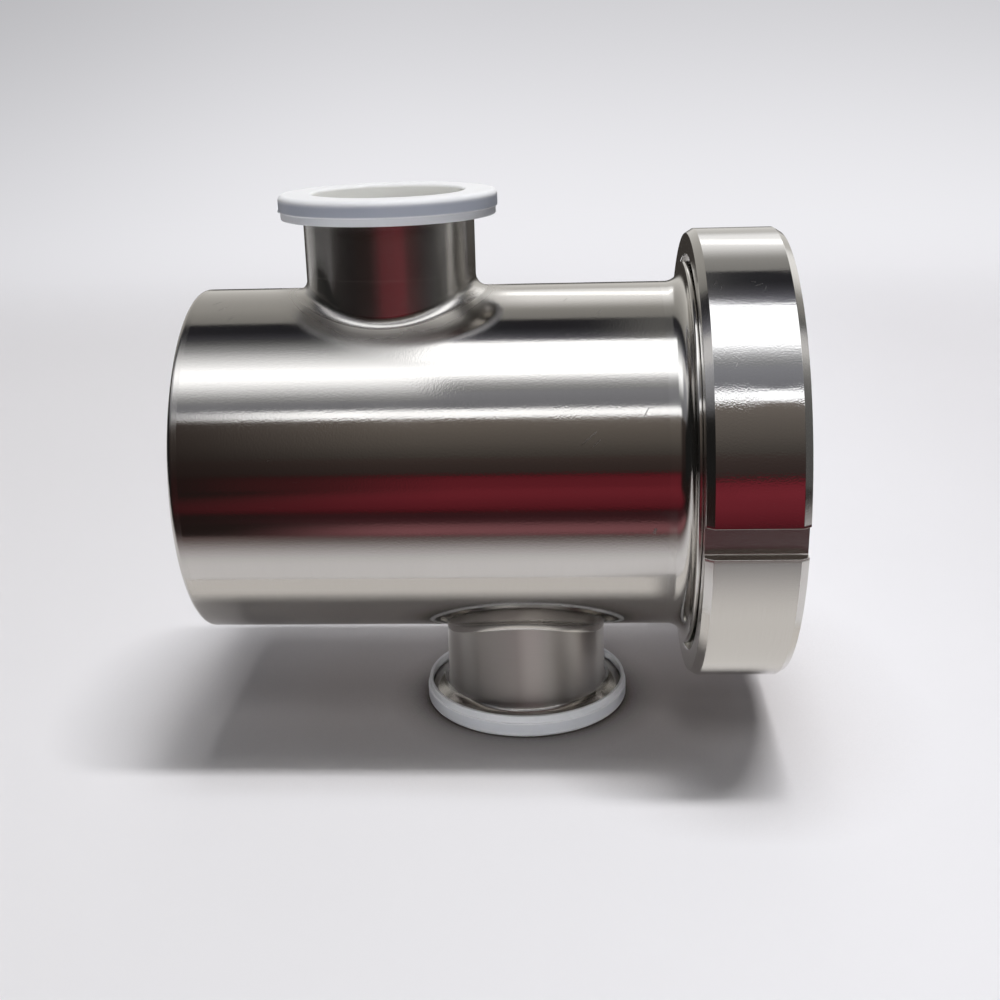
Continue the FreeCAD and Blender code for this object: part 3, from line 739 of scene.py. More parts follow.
def eased(corners, closed=True):
    """Points and outward normals along an outline that keeps its solid on the left."""
    points, normals = [], []
    count = len(corners)
    for index, (a, b, rounding) in enumerate(corners):
        here = np.array((a, b), float)
        before = np.array(corners[index - 1][:2], float)
        after = np.array(corners[(index + 1) % count][:2], float)
        ways = [
            way / np.linalg.norm(way)
            for way in (here - before if closed or index else after - here,
                        after - here if closed or index < count - 1 else here - before)
        ]
        facing = [np.array((way[1], -way[0])) for way in ways]
        turn = math.atan2(ways[0][0] * ways[1][1] - ways[0][1] * ways[1][0], ways[0] @ ways[1])
        if abs(turn) < 1e-6 or rounding == 0:
            points.append(here)
            normals.append((facing[0] + facing[1]) / np.linalg.norm(facing[0] + facing[1]))
            continue
        reach = rounding * math.tan(abs(turn) / 2)
        start = here - ways[0] * reach
        steps = max(2, math.ceil(abs(turn) / ARC_STEP))
        middle = start - math.copysign(rounding, turn) * facing[0]
        for step in range(steps + 1):
            swing = turn * step / steps
            normal = np.array((
                facing[0][0] * math.cos(swing) - facing[0][1] * math.sin(swing),
                facing[0][0] * math.sin(swing) + facing[0][1] * math.cos(swing),
            ))
            points.append(middle + math.copysign(rounding, turn) * normal)
            normals.append(normal)
    return np.array(points), np.array(normals)


# %% [markdown]
# ## Meshes from rings of points
# Turned pieces, the slotted nut and the tube are all made the same way: rings of points, laid one
# after another and joined with quads. One helper builds the mesh from the rings and writes the
# exact normals on it, and another counts the edges that are left open.

# %% Mesh from rings


def finished_piece(name, points, faces, normals, replaced, materials, face_slots=None):
    """A mesh object in metres that stands in for a construction node."""
    mesh = bpy.data.meshes.new(name)
    mesh.from_pydata((np.asarray(points) * MM).tolist(), [], faces)
    for material in materials:
        mesh.materials.append(material)
    mesh.shade_smooth()
    if face_slots is not None:
        mesh.polygons.foreach_set("material_index", face_slots)
    mesh.normals_split_custom_set_from_vertices(np.asarray(normals).tolist())
    mesh.validate()
    piece = placed(name, mesh)
    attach(piece, "root")
    if replaced:
        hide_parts(replaced)
    return piece


def open_edges(mesh):
    """How many edges don't join exactly two faces."""
    uses = {}
    for face in mesh.polygons:
        for key in face.edge_keys:
            uses[key] = uses.get(key, 0) + 1
    return sum(1 for count in uses.values() if count != 2)


def ring_faces(rows, count, closed):
    """Quads between neighbouring rings, and between the last ring and the first if closed."""
    faces = []
    for row in range(rows if closed else rows - 1):
        low, high = row * count, (row + 1) % rows * count
        for step in range(count):
            after = (step + 1) % count
            faces.append((low + step, low + after, high + after, high + step))
    return faces


# %% [markdown]
# ## Turning on the lathe
# A lathe piece is one outline turned about an axis. The outline's first number is the distance from
# the axis and the second is the place along it. An outline that starts and ends on the axis gives a
# solid disc, and any other gives a ring. ON_AXIS keeps a disc's innermost ring a hair off the axis,
# so that its points don't fall together.

# %% Lathe
TURN_STEPS = 288
ON_AXIS = 0.001


def lathe_points(outline, axis, centre):
    """Turns points and normals of an outline about an axis. Returns both as 3-D arrays."""
    places, facings = outline
    angles = np.arange(TURN_STEPS) * 2 * math.pi / TURN_STEPS
    cosines, sines = np.cos(angles), np.sin(angles)
    turned = []
    for pairs, moved in ((places, True), (facings, False)):
        reach, along = pairs[:, :1], np.repeat(pairs[:, 1:], TURN_STEPS, axis=1)
        first, second = reach * cosines, reach * sines
        three = (along, first, second) if axis == "X" else (second, first, along)
        solid = np.stack([part.reshape(-1) for part in three], axis=1)
        turned.append(solid + np.array(centre) if moved else solid)
    return turned


def lathe_faces(rows, closed):
    """Faces of a turned piece: a ring, or a solid with a fan of triangles at each end."""
    faces = ring_faces(rows, TURN_STEPS, closed)
    if not closed:
        first, last = rows * TURN_STEPS, rows * TURN_STEPS + 1
        end = (rows - 1) * TURN_STEPS
        for step in range(TURN_STEPS):
            after = (step + 1) % TURN_STEPS
            faces.append((first, after, step))
            faces.append((last, end + step, end + after))
    return faces


def turned_piece(name, corners, axis, centre, replaced, slot, material, solid_disc=False):
    """A lathe piece in place of a node. Corners are (radius, place along the axis, rounding)."""
    outline = eased(corners, closed=not solid_disc)
    points, normals = lathe_points(outline, axis, centre)
    if solid_disc:
        unit = np.array((1, 0, 0)) if axis == "X" else np.array((0, 0, 1))
        for end in (0, -1):
            points = np.vstack([points, np.array(centre) + unit * outline[0][end][1]])
            normals = np.vstack([normals, unit * np.sign(outline[1][end][1])])
    faces = lathe_faces(len(outline[0]), not solid_disc)
    if axis == "Z":
        faces = [face[::-1] for face in faces]
    piece = finished_piece(name, points, faces, normals, replaced, [material])
    print(name, "triangles", sum(len(f.vertices) - 2 for f in piece.data.polygons),
          "open edges", open_edges(piece.data))
    return piece


# %% [markdown]
# ## Body tube
# The tube was rolled and welded, and both necks were pulled out of its wall through smaller holes.
# Pulling leaves a smooth bend between neck and tube, as if a ball had been rolled round the joint.
# A boolean and a bevel could make it, but their triangles show in polished steel. Instead the bend
# is worked out: for a ball of a given radius that touches tube and neck, the centre follows a
# simple curve, and the surface is the arc between the two touching points.

# %% Sizes of the tube
TUBE_WALL = 2.0
TUBE_START, TUBE_END = -96.5, 43.0
NECK_RADIUS, NECK_WALL = 26.0, 1.5
NECK_END = 60.0
BEND = 4.0
GRID_ROUND = 288
WINDOW_CELLS = 32
WINDOW_ROUND = 48
INLET_CELLS = 31
GRID_STEP = -INLET_MM / INLET_CELLS
LEFT_CELLS = INLET_CELLS + WINDOW_CELLS
START_CELLS = 4
WINDOW_RINGS = 14
CROWDING = 1.5
BEND_RINGS = 12
NECK_RINGS = 5
WALL_FINISH, BEND_FINISH, NECK_FINISH = 0, 3, -1
print("window half width in mm", round(WINDOW_CELLS * GRID_STEP, 2))

# %% [markdown]
# Round each neck the tube has a square window in its grid of quads. Rings of quads lead from the
# window's border in to the bend, over it, and up the neck. They are worked out here for a neck on
# top, and crowd together towards the bend, where the surface starts to turn.

# %% Rings round a neck


def neck_rings(radius, neck, bend, window):
    """Rings from a window's border to the neck's end, for a neck on top at x = 0: each with its
    points, normals and finish."""
    angles = np.arctan2((radius + bend) * np.sin(window[:, 1]), window[:, 0])
    middle_round = (neck + bend) * np.sin(angles)
    middle = np.stack([
        (neck + bend) * np.cos(angles), middle_round,
        np.sqrt((radius + bend) ** 2 - middle_round ** 2),
    ], axis=1)
    foot_x = middle[:, 0]
    foot_turn = np.arctan2(middle[:, 1], middle[:, 2])
    rings = []
    for ring in range(1, WINDOW_RINGS + 1):
        share = 1 - (1 - ring / WINDOW_RINGS) ** CROWDING
        turn = window[:, 1] + (foot_turn - window[:, 1]) * share
        lower = np.stack([np.zeros_like(turn), np.sin(turn), np.cos(turn)], axis=1)
        points = lower * radius
        points[:, 0] = window[:, 0] + (foot_x - window[:, 0]) * share
        rings.append((points, lower, WALL_FINISH))
    upper = np.stack([np.cos(angles), np.sin(angles), np.zeros_like(angles)], axis=1)
    swing = np.arccos(np.clip((lower * upper).sum(axis=1), -1, 1))[:, None]
    for ring in range(1, BEND_RINGS + 1):
        share = ring / BEND_RINGS
        facing = np.sin((1 - share) * swing) * lower + np.sin(share * swing) * upper
        facing = facing / np.sin(swing)
        top = middle - bend * facing
        rings.append((top, facing, BEND_FINISH))
    for ring in range(1, NECK_RINGS + 1):
        points = top.copy()
        points[:, 2] += (NECK_END - top[:, 2]) * ring / NECK_RINGS
        rings.append((points, upper, NECK_FINISH))
    return rings


# %% [markdown]
# The tube has an outer and an inner skin. Each is an even grid of quads with both necks' rings sewn
# into its windows, and flat rims join the two skins at the four openings. So the tube is one closed
# mesh, hollow right into both necks, as the real one is.

# %% Build the tube


def tube_skin(radius, neck, bend):
    """One skin: points, normals, faces with a finish each, and the rings at its open ends."""
    plain = INLET_MM - WINDOW_CELLS * GRID_STEP - TUBE_START
    start_lines = [TUBE_START + plain * i / START_CELLS for i in range(START_CELLS)]
    middle_lines = [GRID_STEP * k for k in range(-LEFT_CELLS, WINDOW_CELLS + 1)]
    lines = start_lines + middle_lines + [TUBE_END]
    turns = np.arange(GRID_ROUND) * 2 * math.pi / GRID_ROUND
    facing = np.stack([np.zeros(GRID_ROUND), np.sin(turns), np.cos(turns)], axis=1)
    points = [facing * radius + np.array((x, 0, 0)) for x in lines]
    normals = [facing for _ in lines]
    base = START_CELLS + LEFT_CELLS
    windows = [(base - INLET_CELLS, 0, INLET_MM), (base, GRID_ROUND // 2, 0.0)]
    faces, finishes = [], []

    def inside(line, step):
        for middle, top, _ in windows:
            gap = (step - top + GRID_ROUND // 2) % GRID_ROUND - GRID_ROUND // 2
            if abs(line + 0.5 - middle) < WINDOW_CELLS and abs(gap + 0.5) < WINDOW_ROUND:
                return True
        return False

    for line in range(len(lines) - 1):
        for step in range(GRID_ROUND):
            if not inside(line, step):
                after = (step + 1) % GRID_ROUND
                low, high = line * GRID_ROUND, (line + 1) * GRID_ROUND
                faces.append((low + step, high + step, high + after, low + after))
                finishes.append(WALL_FINISH)

    total = len(lines) * GRID_ROUND
    mouths = []
    for number, (middle, top, place) in enumerate(windows):
        side, reach = WINDOW_ROUND, WINDOW_CELLS
        border = [(middle + reach, -side + i) for i in range(2 * side)]
        border += [(middle + reach - i, side) for i in range(2 * reach)]
        border += [(middle - reach, side - i) for i in range(2 * side)]
        border += [(middle - reach + i, -side) for i in range(2 * reach)]
        window = np.array([
            (lines[line] - place, step * 2 * math.pi / GRID_ROUND) for line, step in border
        ])
        flip = np.array((1, 1, 1)) if top == 0 else np.array((1, -1, -1))
        count = len(border)
        before = [line * GRID_ROUND + (step + top) % GRID_ROUND for line, step in border]
        for ring, facings, finish in neck_rings(radius, neck, bend, window):
            points.append(ring * flip + np.array((place, 0, 0)))
            normals.append(facings * flip)
            now = [total + i for i in range(count)]
            for i in range(count):
                j = (i + 1) % count
                faces.append((before[i], before[j], now[j], now[i]))
                finishes.append(number + 1 if finish == NECK_FINISH else finish)
            total += count
            before = now
        mouths.append(before)
    ends = [list(range(GRID_ROUND)), [(len(lines) - 1) * GRID_ROUND + i for i in range(GRID_ROUND)]]
    return np.vstack(points), np.vstack(normals), faces, finishes, ends + mouths


def tube_piece():
    """Outer and inner skin, joined by flat rims at the four openings."""
    outer = tube_skin(TUBE_RADIUS, NECK_RADIUS, BEND)
    inner = tube_skin(TUBE_RADIUS - TUBE_WALL, NECK_RADIUS - NECK_WALL, BEND + NECK_WALL)
    shift = len(outer[0])
    points = np.vstack([outer[0], inner[0]]) + np.array((0, 0, AXIS_MM))
    normals = np.vstack([outer[1], -inner[1]])
    faces = outer[2] + [tuple(i + shift for i in face[::-1]) for face in inner[2]]
    finishes = outer[3] + inner[3]
    for edge, (outside, within) in enumerate(zip(outer[4], inner[4])):
        for i in range(len(outside)):
            j = (i + 1) % len(outside)
            face = (outside[i], outside[j], within[j] + shift, within[i] + shift)
            faces.append(face if edge != 1 else face[::-1])
            finishes.append(WALL_FINISH)
    return points, normals, faces, finishes


points, normals, faces, finishes = tube_piece()
tube = finished_piece(
    "body_tube_skin", points, faces, normals, "body_tube",
    [satin, necks["inlet"], necks["outlet"], blended], finishes,
)
print("tube faces", len(faces), "open edges", open_edges(tube.data))

# %% [markdown]
# ## Blind end
# A flat plate closes the left end. Its weld was ground flush, so only a small round edge shows. It
# is a lathe piece that starts and ends on the axis.

# %% Blind end
PLATE_BACK, PLATE_EDGE = -99.5, 1.5
CENTRE_MM = (0, 0, AXIS_MM)
turned_piece(
    "end_plate_ground",
    [
        (ON_AXIS, PLATE_BACK, 0),
        (TUBE_RADIUS, PLATE_BACK, PLATE_EDGE),
        (TUBE_RADIUS, TUBE_START, 0.02),
        (ON_AXIS, TUBE_START, 0),
    ],
    "X", CENTRE_MM, "end_plate", "satin_tube", blind_face, solid_disc=True,
)

# %% [markdown]
# ## Clamp ferrules
# Each neck ends in a clamp ferrule: a short tube with a flat flange whose back slopes at 20
# degrees, so that a clamp pulls two of them together. The face has a half-round groove for the
# seal. It is hidden under the cap, but it is part of the piece. The outlet's ferrule is the same
# one upside down. Faces further out than the neck get the clamp rim's own finish, with painted
# shade in its darker colour.

# %% Clamp ferrules
FLANGE_RADIUS, FLANGE_EDGE = 32.0, 2.85
PORT_REACH = 82.3
GROOVE_RADIUS, GROOVE_WIDTH, GROOVE_STEPS = 28.25, 1.6, 12
FLANGE_FROM = 0.5
BORE_RADIUS = NECK_RADIUS - NECK_WALL
FLANGE_BACK = FLANGE_EDGE + (FLANGE_RADIUS - NECK_RADIUS) * math.tan(math.radians(20))


def port_piece(port, place, side, kind, finish, heights, slot, material, **disc):
    """A lathe piece on a port. Heights are measured outwards from the port's clamp face, and side
    is 1 above and -1 below."""
    corners = [(radius, side * height, rounding) for radius, height, rounding in heights]
    return turned_piece(
        f"{port}_{kind}_{finish}", corners[::side], "Z", (place, 0, AXIS_MM + side * PORT_REACH),
        f"{port}_{kind}", slot, material, **disc,
    )


def ferrule(port, place, side):
    """A ferrule with its clamp face at the port's end."""
    heights = [
        (BORE_RADIUS, NECK_END - PORT_REACH, 0.02),
        (NECK_RADIUS, NECK_END - PORT_REACH, 0.02),
        (NECK_RADIUS, -FLANGE_BACK, 3.0),
        (FLANGE_RADIUS, -FLANGE_EDGE, 0.4),
        (FLANGE_RADIUS, 0, 0.4),
        (GROOVE_RADIUS + GROOVE_WIDTH, 0, 0.05),
    ]
    for step in range(1, GROOVE_STEPS):
        turn = math.radians(180 * step / GROOVE_STEPS)
        heights.append((
            GROOVE_RADIUS + GROOVE_WIDTH * math.cos(turn), -GROOVE_WIDTH * math.sin(turn), 0
        ))
    heights += [(GROOVE_RADIUS - GROOVE_WIDTH, 0, 0.05), (BORE_RADIUS, 0, 0.2)]
    piece = port_piece(
        port, place, side, "ferrule", "turned", heights, "turned_steel", necks[port]
    )
    piece.data.materials.append(flanges[port])
    for polygon in piece.data.polygons:
        middle = polygon.center
        out = math.hypot(middle.x - place * MM, middle.y)
        polygon.material_index = int(out > (NECK_RADIUS + FLANGE_FROM) * MM)
    print(port, "flange faces", sum(p.material_index for p in piece.data.polygons))


for port, place, side in PORTS:
    ferrule(port, place, side)

# %% [markdown]
# ## Shipping caps
# Push-on caps of milky polyethylene keep the bores clean. A cap has a flat top, a skirt with a
# set-in lip that snaps under the flange, and a shallow plug in the middle. The plastic is thin.
# Where the flange's rim lies right behind it, the wall looks bluish grey, because the steel takes
# the light that would come back out. Free edges look white, and the dish over the bore a little
# creamy. True translucency that thin would need a lot of rays. So the shader scatters light under
# the surface, and the colour follows what lies behind, with painted shade where steel lies behind
# it, worked out from the height and from how far out the spot is from the cap's middle.

# %% Cap plastic


def milky_plastic(name, place, face, side, dimmed):
    """Translucent polyethylene over a flange whose clamp face is at a height, in metres. dimmed is
    how strong the painted shade of the steel behind is."""
    material, tree, output = new_material(name)
    spot = add_node(tree, "ShaderNodeTexCoord").outputs["Object"]
    parts = add_node(tree, "ShaderNodeSeparateXYZ", Vector=spot)
    above = product(tree, calc(tree, "SUBTRACT", parts.outputs["Z"], face), side)
    a = calc(tree, "SUBTRACT", parts.outputs["X"], place)
    reach = distance(tree, a, parts.outputs["Y"])
    flow = noise(tree, spot, 90.0, 4.0)
    colour = mixed(tree, flow, (0.84, 0.85, 0.88), (0.89, 0.895, 0.915))
    # Painted shade: where steel lies behind the wall and the lip, the colour turns bluish grey.
    painted_backing_shade = product(
        tree, rescale(tree, above, -0.0036, -0.0030, 0, 1, True),
        rescale(tree, above, -0.0010, 0.0006, 1, 0, True),
        rescale(tree, reach, 0.0318, 0.0324, 0, 1), 0.85 * dimmed,
    )
    lip = product(
        tree, rescale(tree, above, -0.0038, -0.0036, 1, 0),
        rescale(tree, reach, 0.030, 0.031, 0, 1), 0.35 * dimmed,
    )
    dish = rescale(tree, reach, 0.0215, 0.0240, 0.85, 0, True)
    for mask, behind in (
        (painted_backing_shade, (0.36, 0.39, 0.47)), (lip, (0.55, 0.57, 0.61)), (dish, (0.86, 0.85, 0.78))
    ):
        colour = mixed(tree, mask, colour, behind)
    shaded(
        tree, output, Base_Color=colour, IOR=1.5,
        Roughness=rescale(tree, flow, 0.3, 0.7, 0.30, 0.42),
        Normal=bumped(tree, 0.12, 0.00005, noise(tree, spot, 1500.0, 2.0)),
        Subsurface_Weight=0.5, Subsurface_Radius=(1.0, 1.0, 1.0), Subsurface_Scale=0.0006,
    )
    return material


DIMMED = {"inlet": 1.0, "outlet": 0.32}
plastics = {
    port: milky_plastic(
        f"milky_{port}_cap", x * MM, (AXIS_MM + side * PORT_REACH) * MM, side, DIMMED[port]
    )
    for port, x, side in PORTS
}
print("cap plastics:", *[plastic.name for plastic in plastics.values()])

# %% [markdown]
# A cap is thin moulded plastic, and one outline turned on the lathe keeps its wall even all round:
# plug, skirt, ledge and lip, then over the top's soft edge into the dish. The outlet's cap is the
# same one upside down, and the fitting stands on it.

# %% Caps
CAP_TOP, CAP_WALL, CAP_CLEARANCE = 1.4, 1.1, 0.1
CAP_SKIRT, CAP_LIP, CAP_LIP_INSET = 5.9, 2.3, 0.55
CAP_PLUG, CAP_PLUG_WALL, CAP_PLUG_CLEARANCE = 5.0, 1.3, 0.15
CAP_OUTER = FLANGE_RADIUS + CAP_CLEARANCE + CAP_WALL
CAP_INNER = FLANGE_RADIUS + CAP_CLEARANCE
LIP_OUTER = CAP_OUTER - CAP_LIP_INSET
LIP_INNER = LIP_OUTER - CAP_WALL
LEDGE = CAP_SKIRT - CAP_LIP
PLUG_OUTER = BORE_RADIUS - CAP_PLUG_CLEARANCE
DISH = PLUG_OUTER - CAP_PLUG_WALL
DISH_FLOOR = CAP_PLUG - CAP_PLUG_WALL


def cap(port, place, side):
    """A cap on a port's clamp face."""
    heights = [
        (ON_AXIS, -CAP_PLUG, 0),
        (PLUG_OUTER, -CAP_PLUG, 0.3),
        (PLUG_OUTER, 0, 0.1),
        (CAP_INNER, 0, 0.2),
        (CAP_INNER, -LEDGE + (CAP_INNER - LIP_INNER), 0.1),
        (LIP_INNER, -LEDGE, 0.1),
        (LIP_INNER, -CAP_SKIRT, 0.3),
        (LIP_OUTER, -CAP_SKIRT, 0.3),
        (LIP_OUTER, -LEDGE, 0.15),
        (CAP_OUTER, -LEDGE, 0.3),
        (CAP_OUTER, CAP_TOP, 1.6),
        (DISH, CAP_TOP, 1.0),
        (DISH, -DISH_FLOOR, 1.2),
        (ON_AXIS, -DISH_FLOOR, 0),
    ]
    port_piece(
        port, place, side, "cap", "milky", heights, "cap_plastic", plastics[port], solid_disc=True
    )


for port, place, side in PORTS:
    cap(port, place, side)

# %% [markdown]
# Each cap was snapped off its runner, which leaves a ragged little stub on the ledge. It is a short
# peg whose last two rings of points are shaken by seeded random numbers, so it is the same each
# time.

# %% Gate stubs
STUB_RADIUS, STUB_REACH = 0.85, 32.7
STUB_POINTS, STUB_TORN = 20, 0.16
STUB_RINGS = ((1.0, -0.3), (0.97, 0.25), (0.85, 0.5), (0.55, 0.62))
STUB_TURNS = {"inlet": 188, "outlet": 40}
STUB_SEEDS = {"inlet": 7, "outlet": 11}


def gate_stub(port, place, side):
    """A torn-off stub under a cap's ledge. Its turn is in degrees from +X, and each of its rings
    has a share of the radius and a drop in mm."""
    shaken = np.random.default_rng(STUB_SEEDS[port])
    ledge = AXIS_MM + side * (PORT_REACH - LEDGE)
    turn = math.radians(STUB_TURNS[port])
    middle = np.array((place + STUB_REACH * math.cos(turn), STUB_REACH * math.sin(turn), ledge))
    count, points, normals = STUB_POINTS, [], []
    for share, drop in STUB_RINGS:
        for step in range(count):
            swing = 2 * math.pi * step / count
            torn = STUB_TORN * shaken.random() if drop > 0.3 else 0.0
            reach = STUB_RADIUS * share * (1 - torn)
            away = np.array((math.cos(swing), math.sin(swing), 0.0))
            lean = np.array((0, 0, -side * (1 - share) * 2.2))
            points.append(middle + away * reach + np.array((0, 0, -side * (drop - 0.5 * torn))))
            normals.append((away + lean) / np.linalg.norm(away + lean))
    faces = ring_faces(len(STUB_RINGS), count, False)
    if side > 0:
        faces = [face[::-1] for face in faces]
    last = (len(STUB_RINGS) - 1) * count
    faces += [tuple(range(count)), tuple(range(last + count - 1, last - 1, -1))]
    stub = finished_piece(f"{port}_cap_gate_stub", points, faces, normals, None,
                          [plastics[port]])
    print(stub.name, "open edges", open_edges(stub.data))


for port, place, side in PORTS:
    gate_stub(port, place, side)

# %% [markdown]
# ## Union ring
# The open end of the tube is welded to a thick turned ring. It flares out in a hollow bend to a
# rim, and carries the thread inside the nut. Only the bend and the rim's edge show, with a dark gap
# round them, but the whole section is turned.

# %% Union ring
COLLAR, RIM_RADIUS, RIM_ROOT = 2.1, 60.1, 5.0
RIM_BACK = TUBE_END + COLLAR + RIM_ROOT
NUT_INSET, NUT_LENGTH, NUT_LIP = 1.4, 28.1, 5.0
NUT_BACK = RIM_BACK + NUT_INSET
NUT_FRONT = NUT_BACK + NUT_LENGTH
OPENING_DEPTH, THREAD_RADIUS, THREAD_STEP = 2.5, 61.2, 1.0
THREAD_START = NUT_BACK + OPENING_DEPTH
WASHER, DISC, GASKET = 1.0, 3.0, 2.5
RING_FRONT = NUT_FRONT - NUT_LIP - WASHER - DISC - GASKET
turned_piece(
    "union_ring_turned",
    [
        (TUBE_RADIUS - TUBE_WALL, TUBE_END, 0.02),
        (TUBE_RADIUS - TUBE_WALL, RING_FRONT, 0.3),
        (THREAD_RADIUS - THREAD_STEP, RING_FRONT, 0.1),
        (THREAD_RADIUS, RING_FRONT - THREAD_STEP, 0.1),
        (THREAD_RADIUS, THREAD_START, 0.1),
        (RIM_RADIUS, THREAD_START, 0.1),
        (RIM_RADIUS, RIM_BACK, 0.8),
        (TUBE_RADIUS, RIM_BACK, RIM_ROOT),
        (TUBE_RADIUS, TUBE_END, 0.02),
    ][::-1],
    "X", CENTRE_MM, "union_ring", "turned_steel", turned_ring,
)

# %% [markdown]
# ## Ring nut
# The nut is a heavy turned ring with two slots across it for a hook spanner. Cutting the slots with
# a boolean would leave long thin faces on the mirror-bright outside. So each ring of points round
# the nut dips into the slots by itself: round the circle, down the slot's chamfered wall, across
# its floor and up again. Laid one after another along the nut, the rings make the slots.

# %% One ring of points round the nut
NUT_CHAMFER, NUT_DROP = 2.25, 1.4
SLOT_HALF, SLOT_FLOOR = 4.5, 66.1
SLOT_COUNT, SLOT_TURN = 2, math.radians(5)
SLOT_EDGE, SLOT_ROOT, SLOT_LEAD = 0.2, 0.3, 1.0
ARC_POINTS = 132


def slot_outline(radius):
    """A slot across the nut, as (sideways, outwards) from the axis, with normals."""
    lead = SLOT_HALF + SLOT_LEAD
    corners = []
    for side in (1, -1):
        half = [
            (side * lead, math.sqrt(radius ** 2 - lead ** 2), 0),
            (side * SLOT_HALF, math.sqrt(radius ** 2 - SLOT_HALF ** 2), SLOT_EDGE),
            (side * SLOT_HALF, SLOT_FLOOR, SLOT_ROOT),
        ]
        corners += half[::side]
    points, normals = eased(corners, closed=False)
    for end in (0, -1):
        normals[end] = points[end] / np.linalg.norm(points[end])
    return points, normals


def nut_ring(radius, slotted):
    """Points round the nut as (y, z), their normals, and which of them lie in a slot."""
    notch, notch_facing = slot_outline(radius if slotted else NUT_RADIUS)
    count = len(notch)
    lead = math.asin((SLOT_HALF + SLOT_LEAD) / (radius if slotted else NUT_RADIUS))
    if not slotted:
        wall = math.asin(SLOT_HALF / SLOT_BELOW)
        root = math.asin((SLOT_HALF - SLOT_ROOT) / SLOT_BELOW)
        brim = count // 4 + 1
        sweep = np.interp(
            np.arange(count), [0, brim, count // 2 - 1, count // 2, count - 1 - brim, count - 1],
            [lead, wall, root, -root, -wall, -lead],
        )
        notch_facing = np.stack([np.sin(sweep), np.cos(sweep)], axis=1)
        notch = notch_facing * radius
    in_slot = np.zeros(count, bool)
    in_slot[1:-1] = slotted
    sides, facings, slots = [], [], []
    for number in range(SLOT_COUNT):
        middle = math.pi + SLOT_TURN + number * 2 * math.pi / SLOT_COUNT
        cosine, sine = math.cos(middle), math.sin(middle)
        turn = np.array(((cosine, -sine), (sine, cosine)))
        for pairs, kept in ((notch, sides), (notch_facing, facings)):
            kept.append(np.stack([pairs[:, 1], -pairs[:, 0]], axis=1) @ turn.T)
        sweep = np.linspace(middle + lead, middle + 2 * math.pi / SLOT_COUNT - lead, ARC_POINTS + 2)
        arc = np.stack([np.cos(sweep), np.sin(sweep)], axis=1)[1:-1]
        sides.append(arc * radius)
        facings.append(arc)
        slots += [in_slot, np.zeros(ARC_POINTS, bool)]
    return np.vstack(sides), np.vstack(facings), np.concatenate(slots)


# %% [markdown]
# The rings are laid along the nut's section: out over the back face, along the outside, in over the
# front face to the mouth, and back along the thread. Every face gets one of three finishes, by
# where it lies: the bright outside, the plainer faces and chamfers, or a milled slot.

# %% Ring nut
NUT_EDGE = NUT_RADIUS - NUT_DROP
OPENING_RADIUS = 62.3
MOUTH_RADIUS, MOUTH_CHAMFER = 51.0, 1.2
NUT_THREAD = THREAD_RADIUS + 0.05
SLOT_BELOW = 64.5
FLAT, SLOPING = 0.999, 0.2


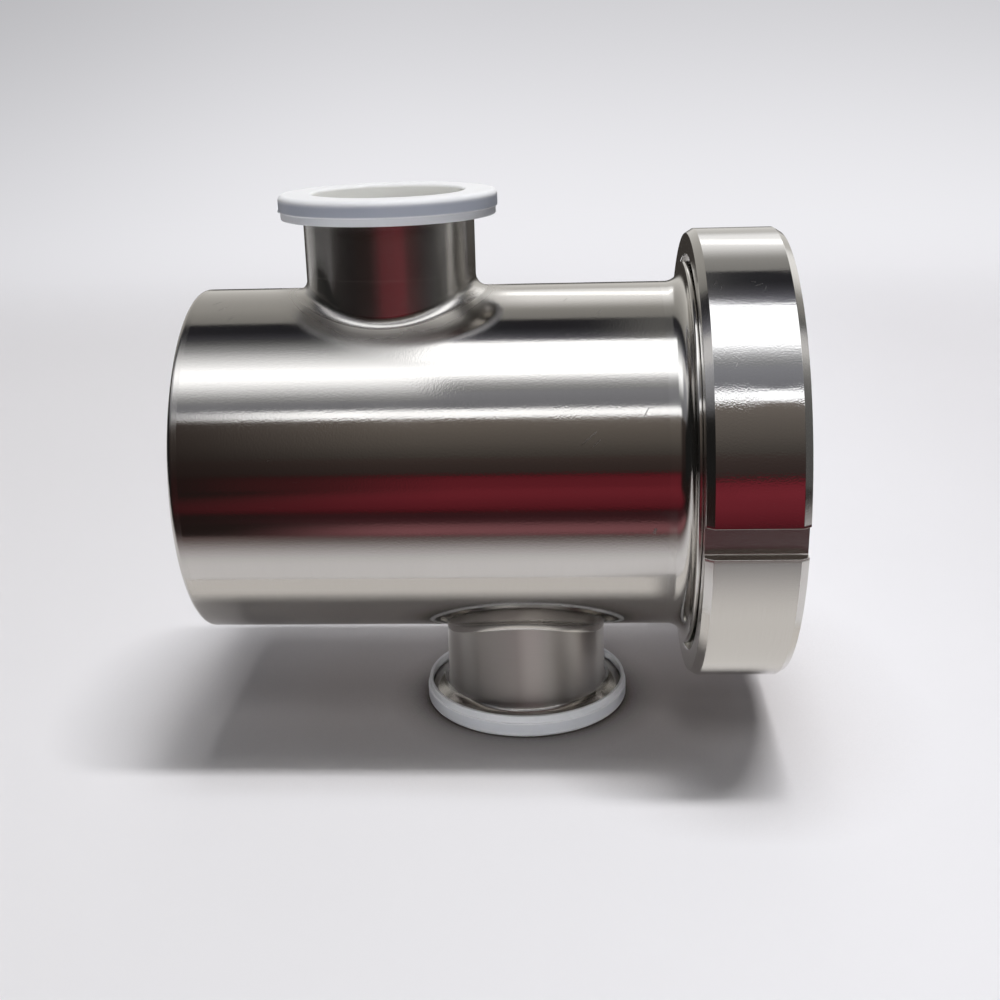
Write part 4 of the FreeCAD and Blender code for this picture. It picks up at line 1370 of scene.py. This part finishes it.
def ring_nut():
    """Rings laid along the nut's section: back face, outside, front face, mouth and thread."""
    corners = [
        (NUT_THREAD, NUT_FRONT - NUT_LIP, 0.1),
        (NUT_THREAD, THREAD_START, 0.1),
        (OPENING_RADIUS, THREAD_START, 0.1),
        (OPENING_RADIUS, NUT_BACK, 0.25),
        (SLOT_BELOW, NUT_BACK, 0),
        (NUT_EDGE, NUT_BACK, 0.15),
        (NUT_RADIUS, NUT_BACK + NUT_CHAMFER, 0.2),
        (NUT_RADIUS, NUT_FRONT - NUT_CHAMFER, 0.2),
        (NUT_EDGE, NUT_FRONT, 0.15),
        (SLOT_BELOW, NUT_FRONT, 0),
        (MOUTH_RADIUS + MOUTH_CHAMFER, NUT_FRONT, 0.1),
        (MOUTH_RADIUS, NUT_FRONT - MOUTH_CHAMFER, 0.1),
        (MOUTH_RADIUS, NUT_FRONT - NUT_LIP, 0.1),
    ]
    points, normals, plain, milled_part = [], [], [], None
    for (radius, along), (out, ahead) in zip(*eased(corners)):
        slotted = radius > SLOT_FLOOR + 1
        ring, facing, in_slot = nut_ring(radius, slotted)
        wall = in_slot & (abs(ahead) <= FLAT)
        tilt = np.where(wall, 0.0, ahead)[:, None]
        level = np.where(wall, 1.0, out)[:, None]
        points.append(np.hstack([np.full((len(ring), 1), along), ring]))
        normals.append(np.hstack([tilt, facing * level]))
        plain.append(abs(ahead) > SLOPING or radius < SLOT_FLOOR)
        if slotted and milled_part is None:
            milled_part = in_slot
    faces = ring_faces(len(points), len(points[0]), True)
    finishes = []
    for row, here in enumerate(plain):
        turned = int(here or plain[(row + 1) % len(plain)])
        outside = min(np.hypot(*points[i % len(plain)][0, 1:]) for i in (row, row + 1)) > SLOT_FLOOR
        finishes += [2 if outside and slot else turned for slot in milled_part]
    return np.vstack(points) + np.array(CENTRE_MM), faces, np.vstack(normals), finishes


points, faces, normals, finishes = ring_nut()
nut = finished_piece("ring_nut_bright", points, faces, normals, "ring_nut",
                     [mirror, nut_faces, milled], finishes)
print("nut faces", len(faces), "open edges", open_edges(nut.data))

# %% [markdown]
# ## Gasket, vent disc and washer
# These three hide behind the nut's lip. Their construction nodes are plain rings and a punched
# disc, which is all that the real ones are, so the nodes stay and get a finish each: black moulded
# rubber, punched sheet and smooth white plastic.

# %% Gasket, vent disc and washer


def plain_finish(name, colour, roughness, uneven, scale, bump_strength):
    """A moulded finish: slightly uneven roughness and colour, and a fine skin."""
    material, tree, output = new_material(name)
    spot = add_node(tree, "ShaderNodeTexCoord").outputs["Object"]
    grain = noise(tree, spot, scale, 4.0)
    shaded(
        tree, output, Base_Color=mixed(tree, grain, shade_of(colour, 0.9), shade_of(colour, 1.08)),
        Roughness=rescale(tree, grain, 0.3, 0.7, roughness - uneven, roughness + uneven),
        Normal=bumped(tree, bump_strength, 0.00005, grain),
    )
    return material


rubber = plain_finish("black_rubber", (0.05, 0.05, 0.05), 0.62, 0.08, 900.0, 0.3)
slippery = plain_finish("smooth_white", (0.88, 0.88, 0.86), 0.40, 0.06, 700.0, 0.1)
for node, material in (("ring_gasket", rubber), ("vent_disc", punched), ("slip_washer", slippery)):
    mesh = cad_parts[node].data
    mesh.materials.clear()
    mesh.materials.append(material)
    print(node, "gets", material.name)
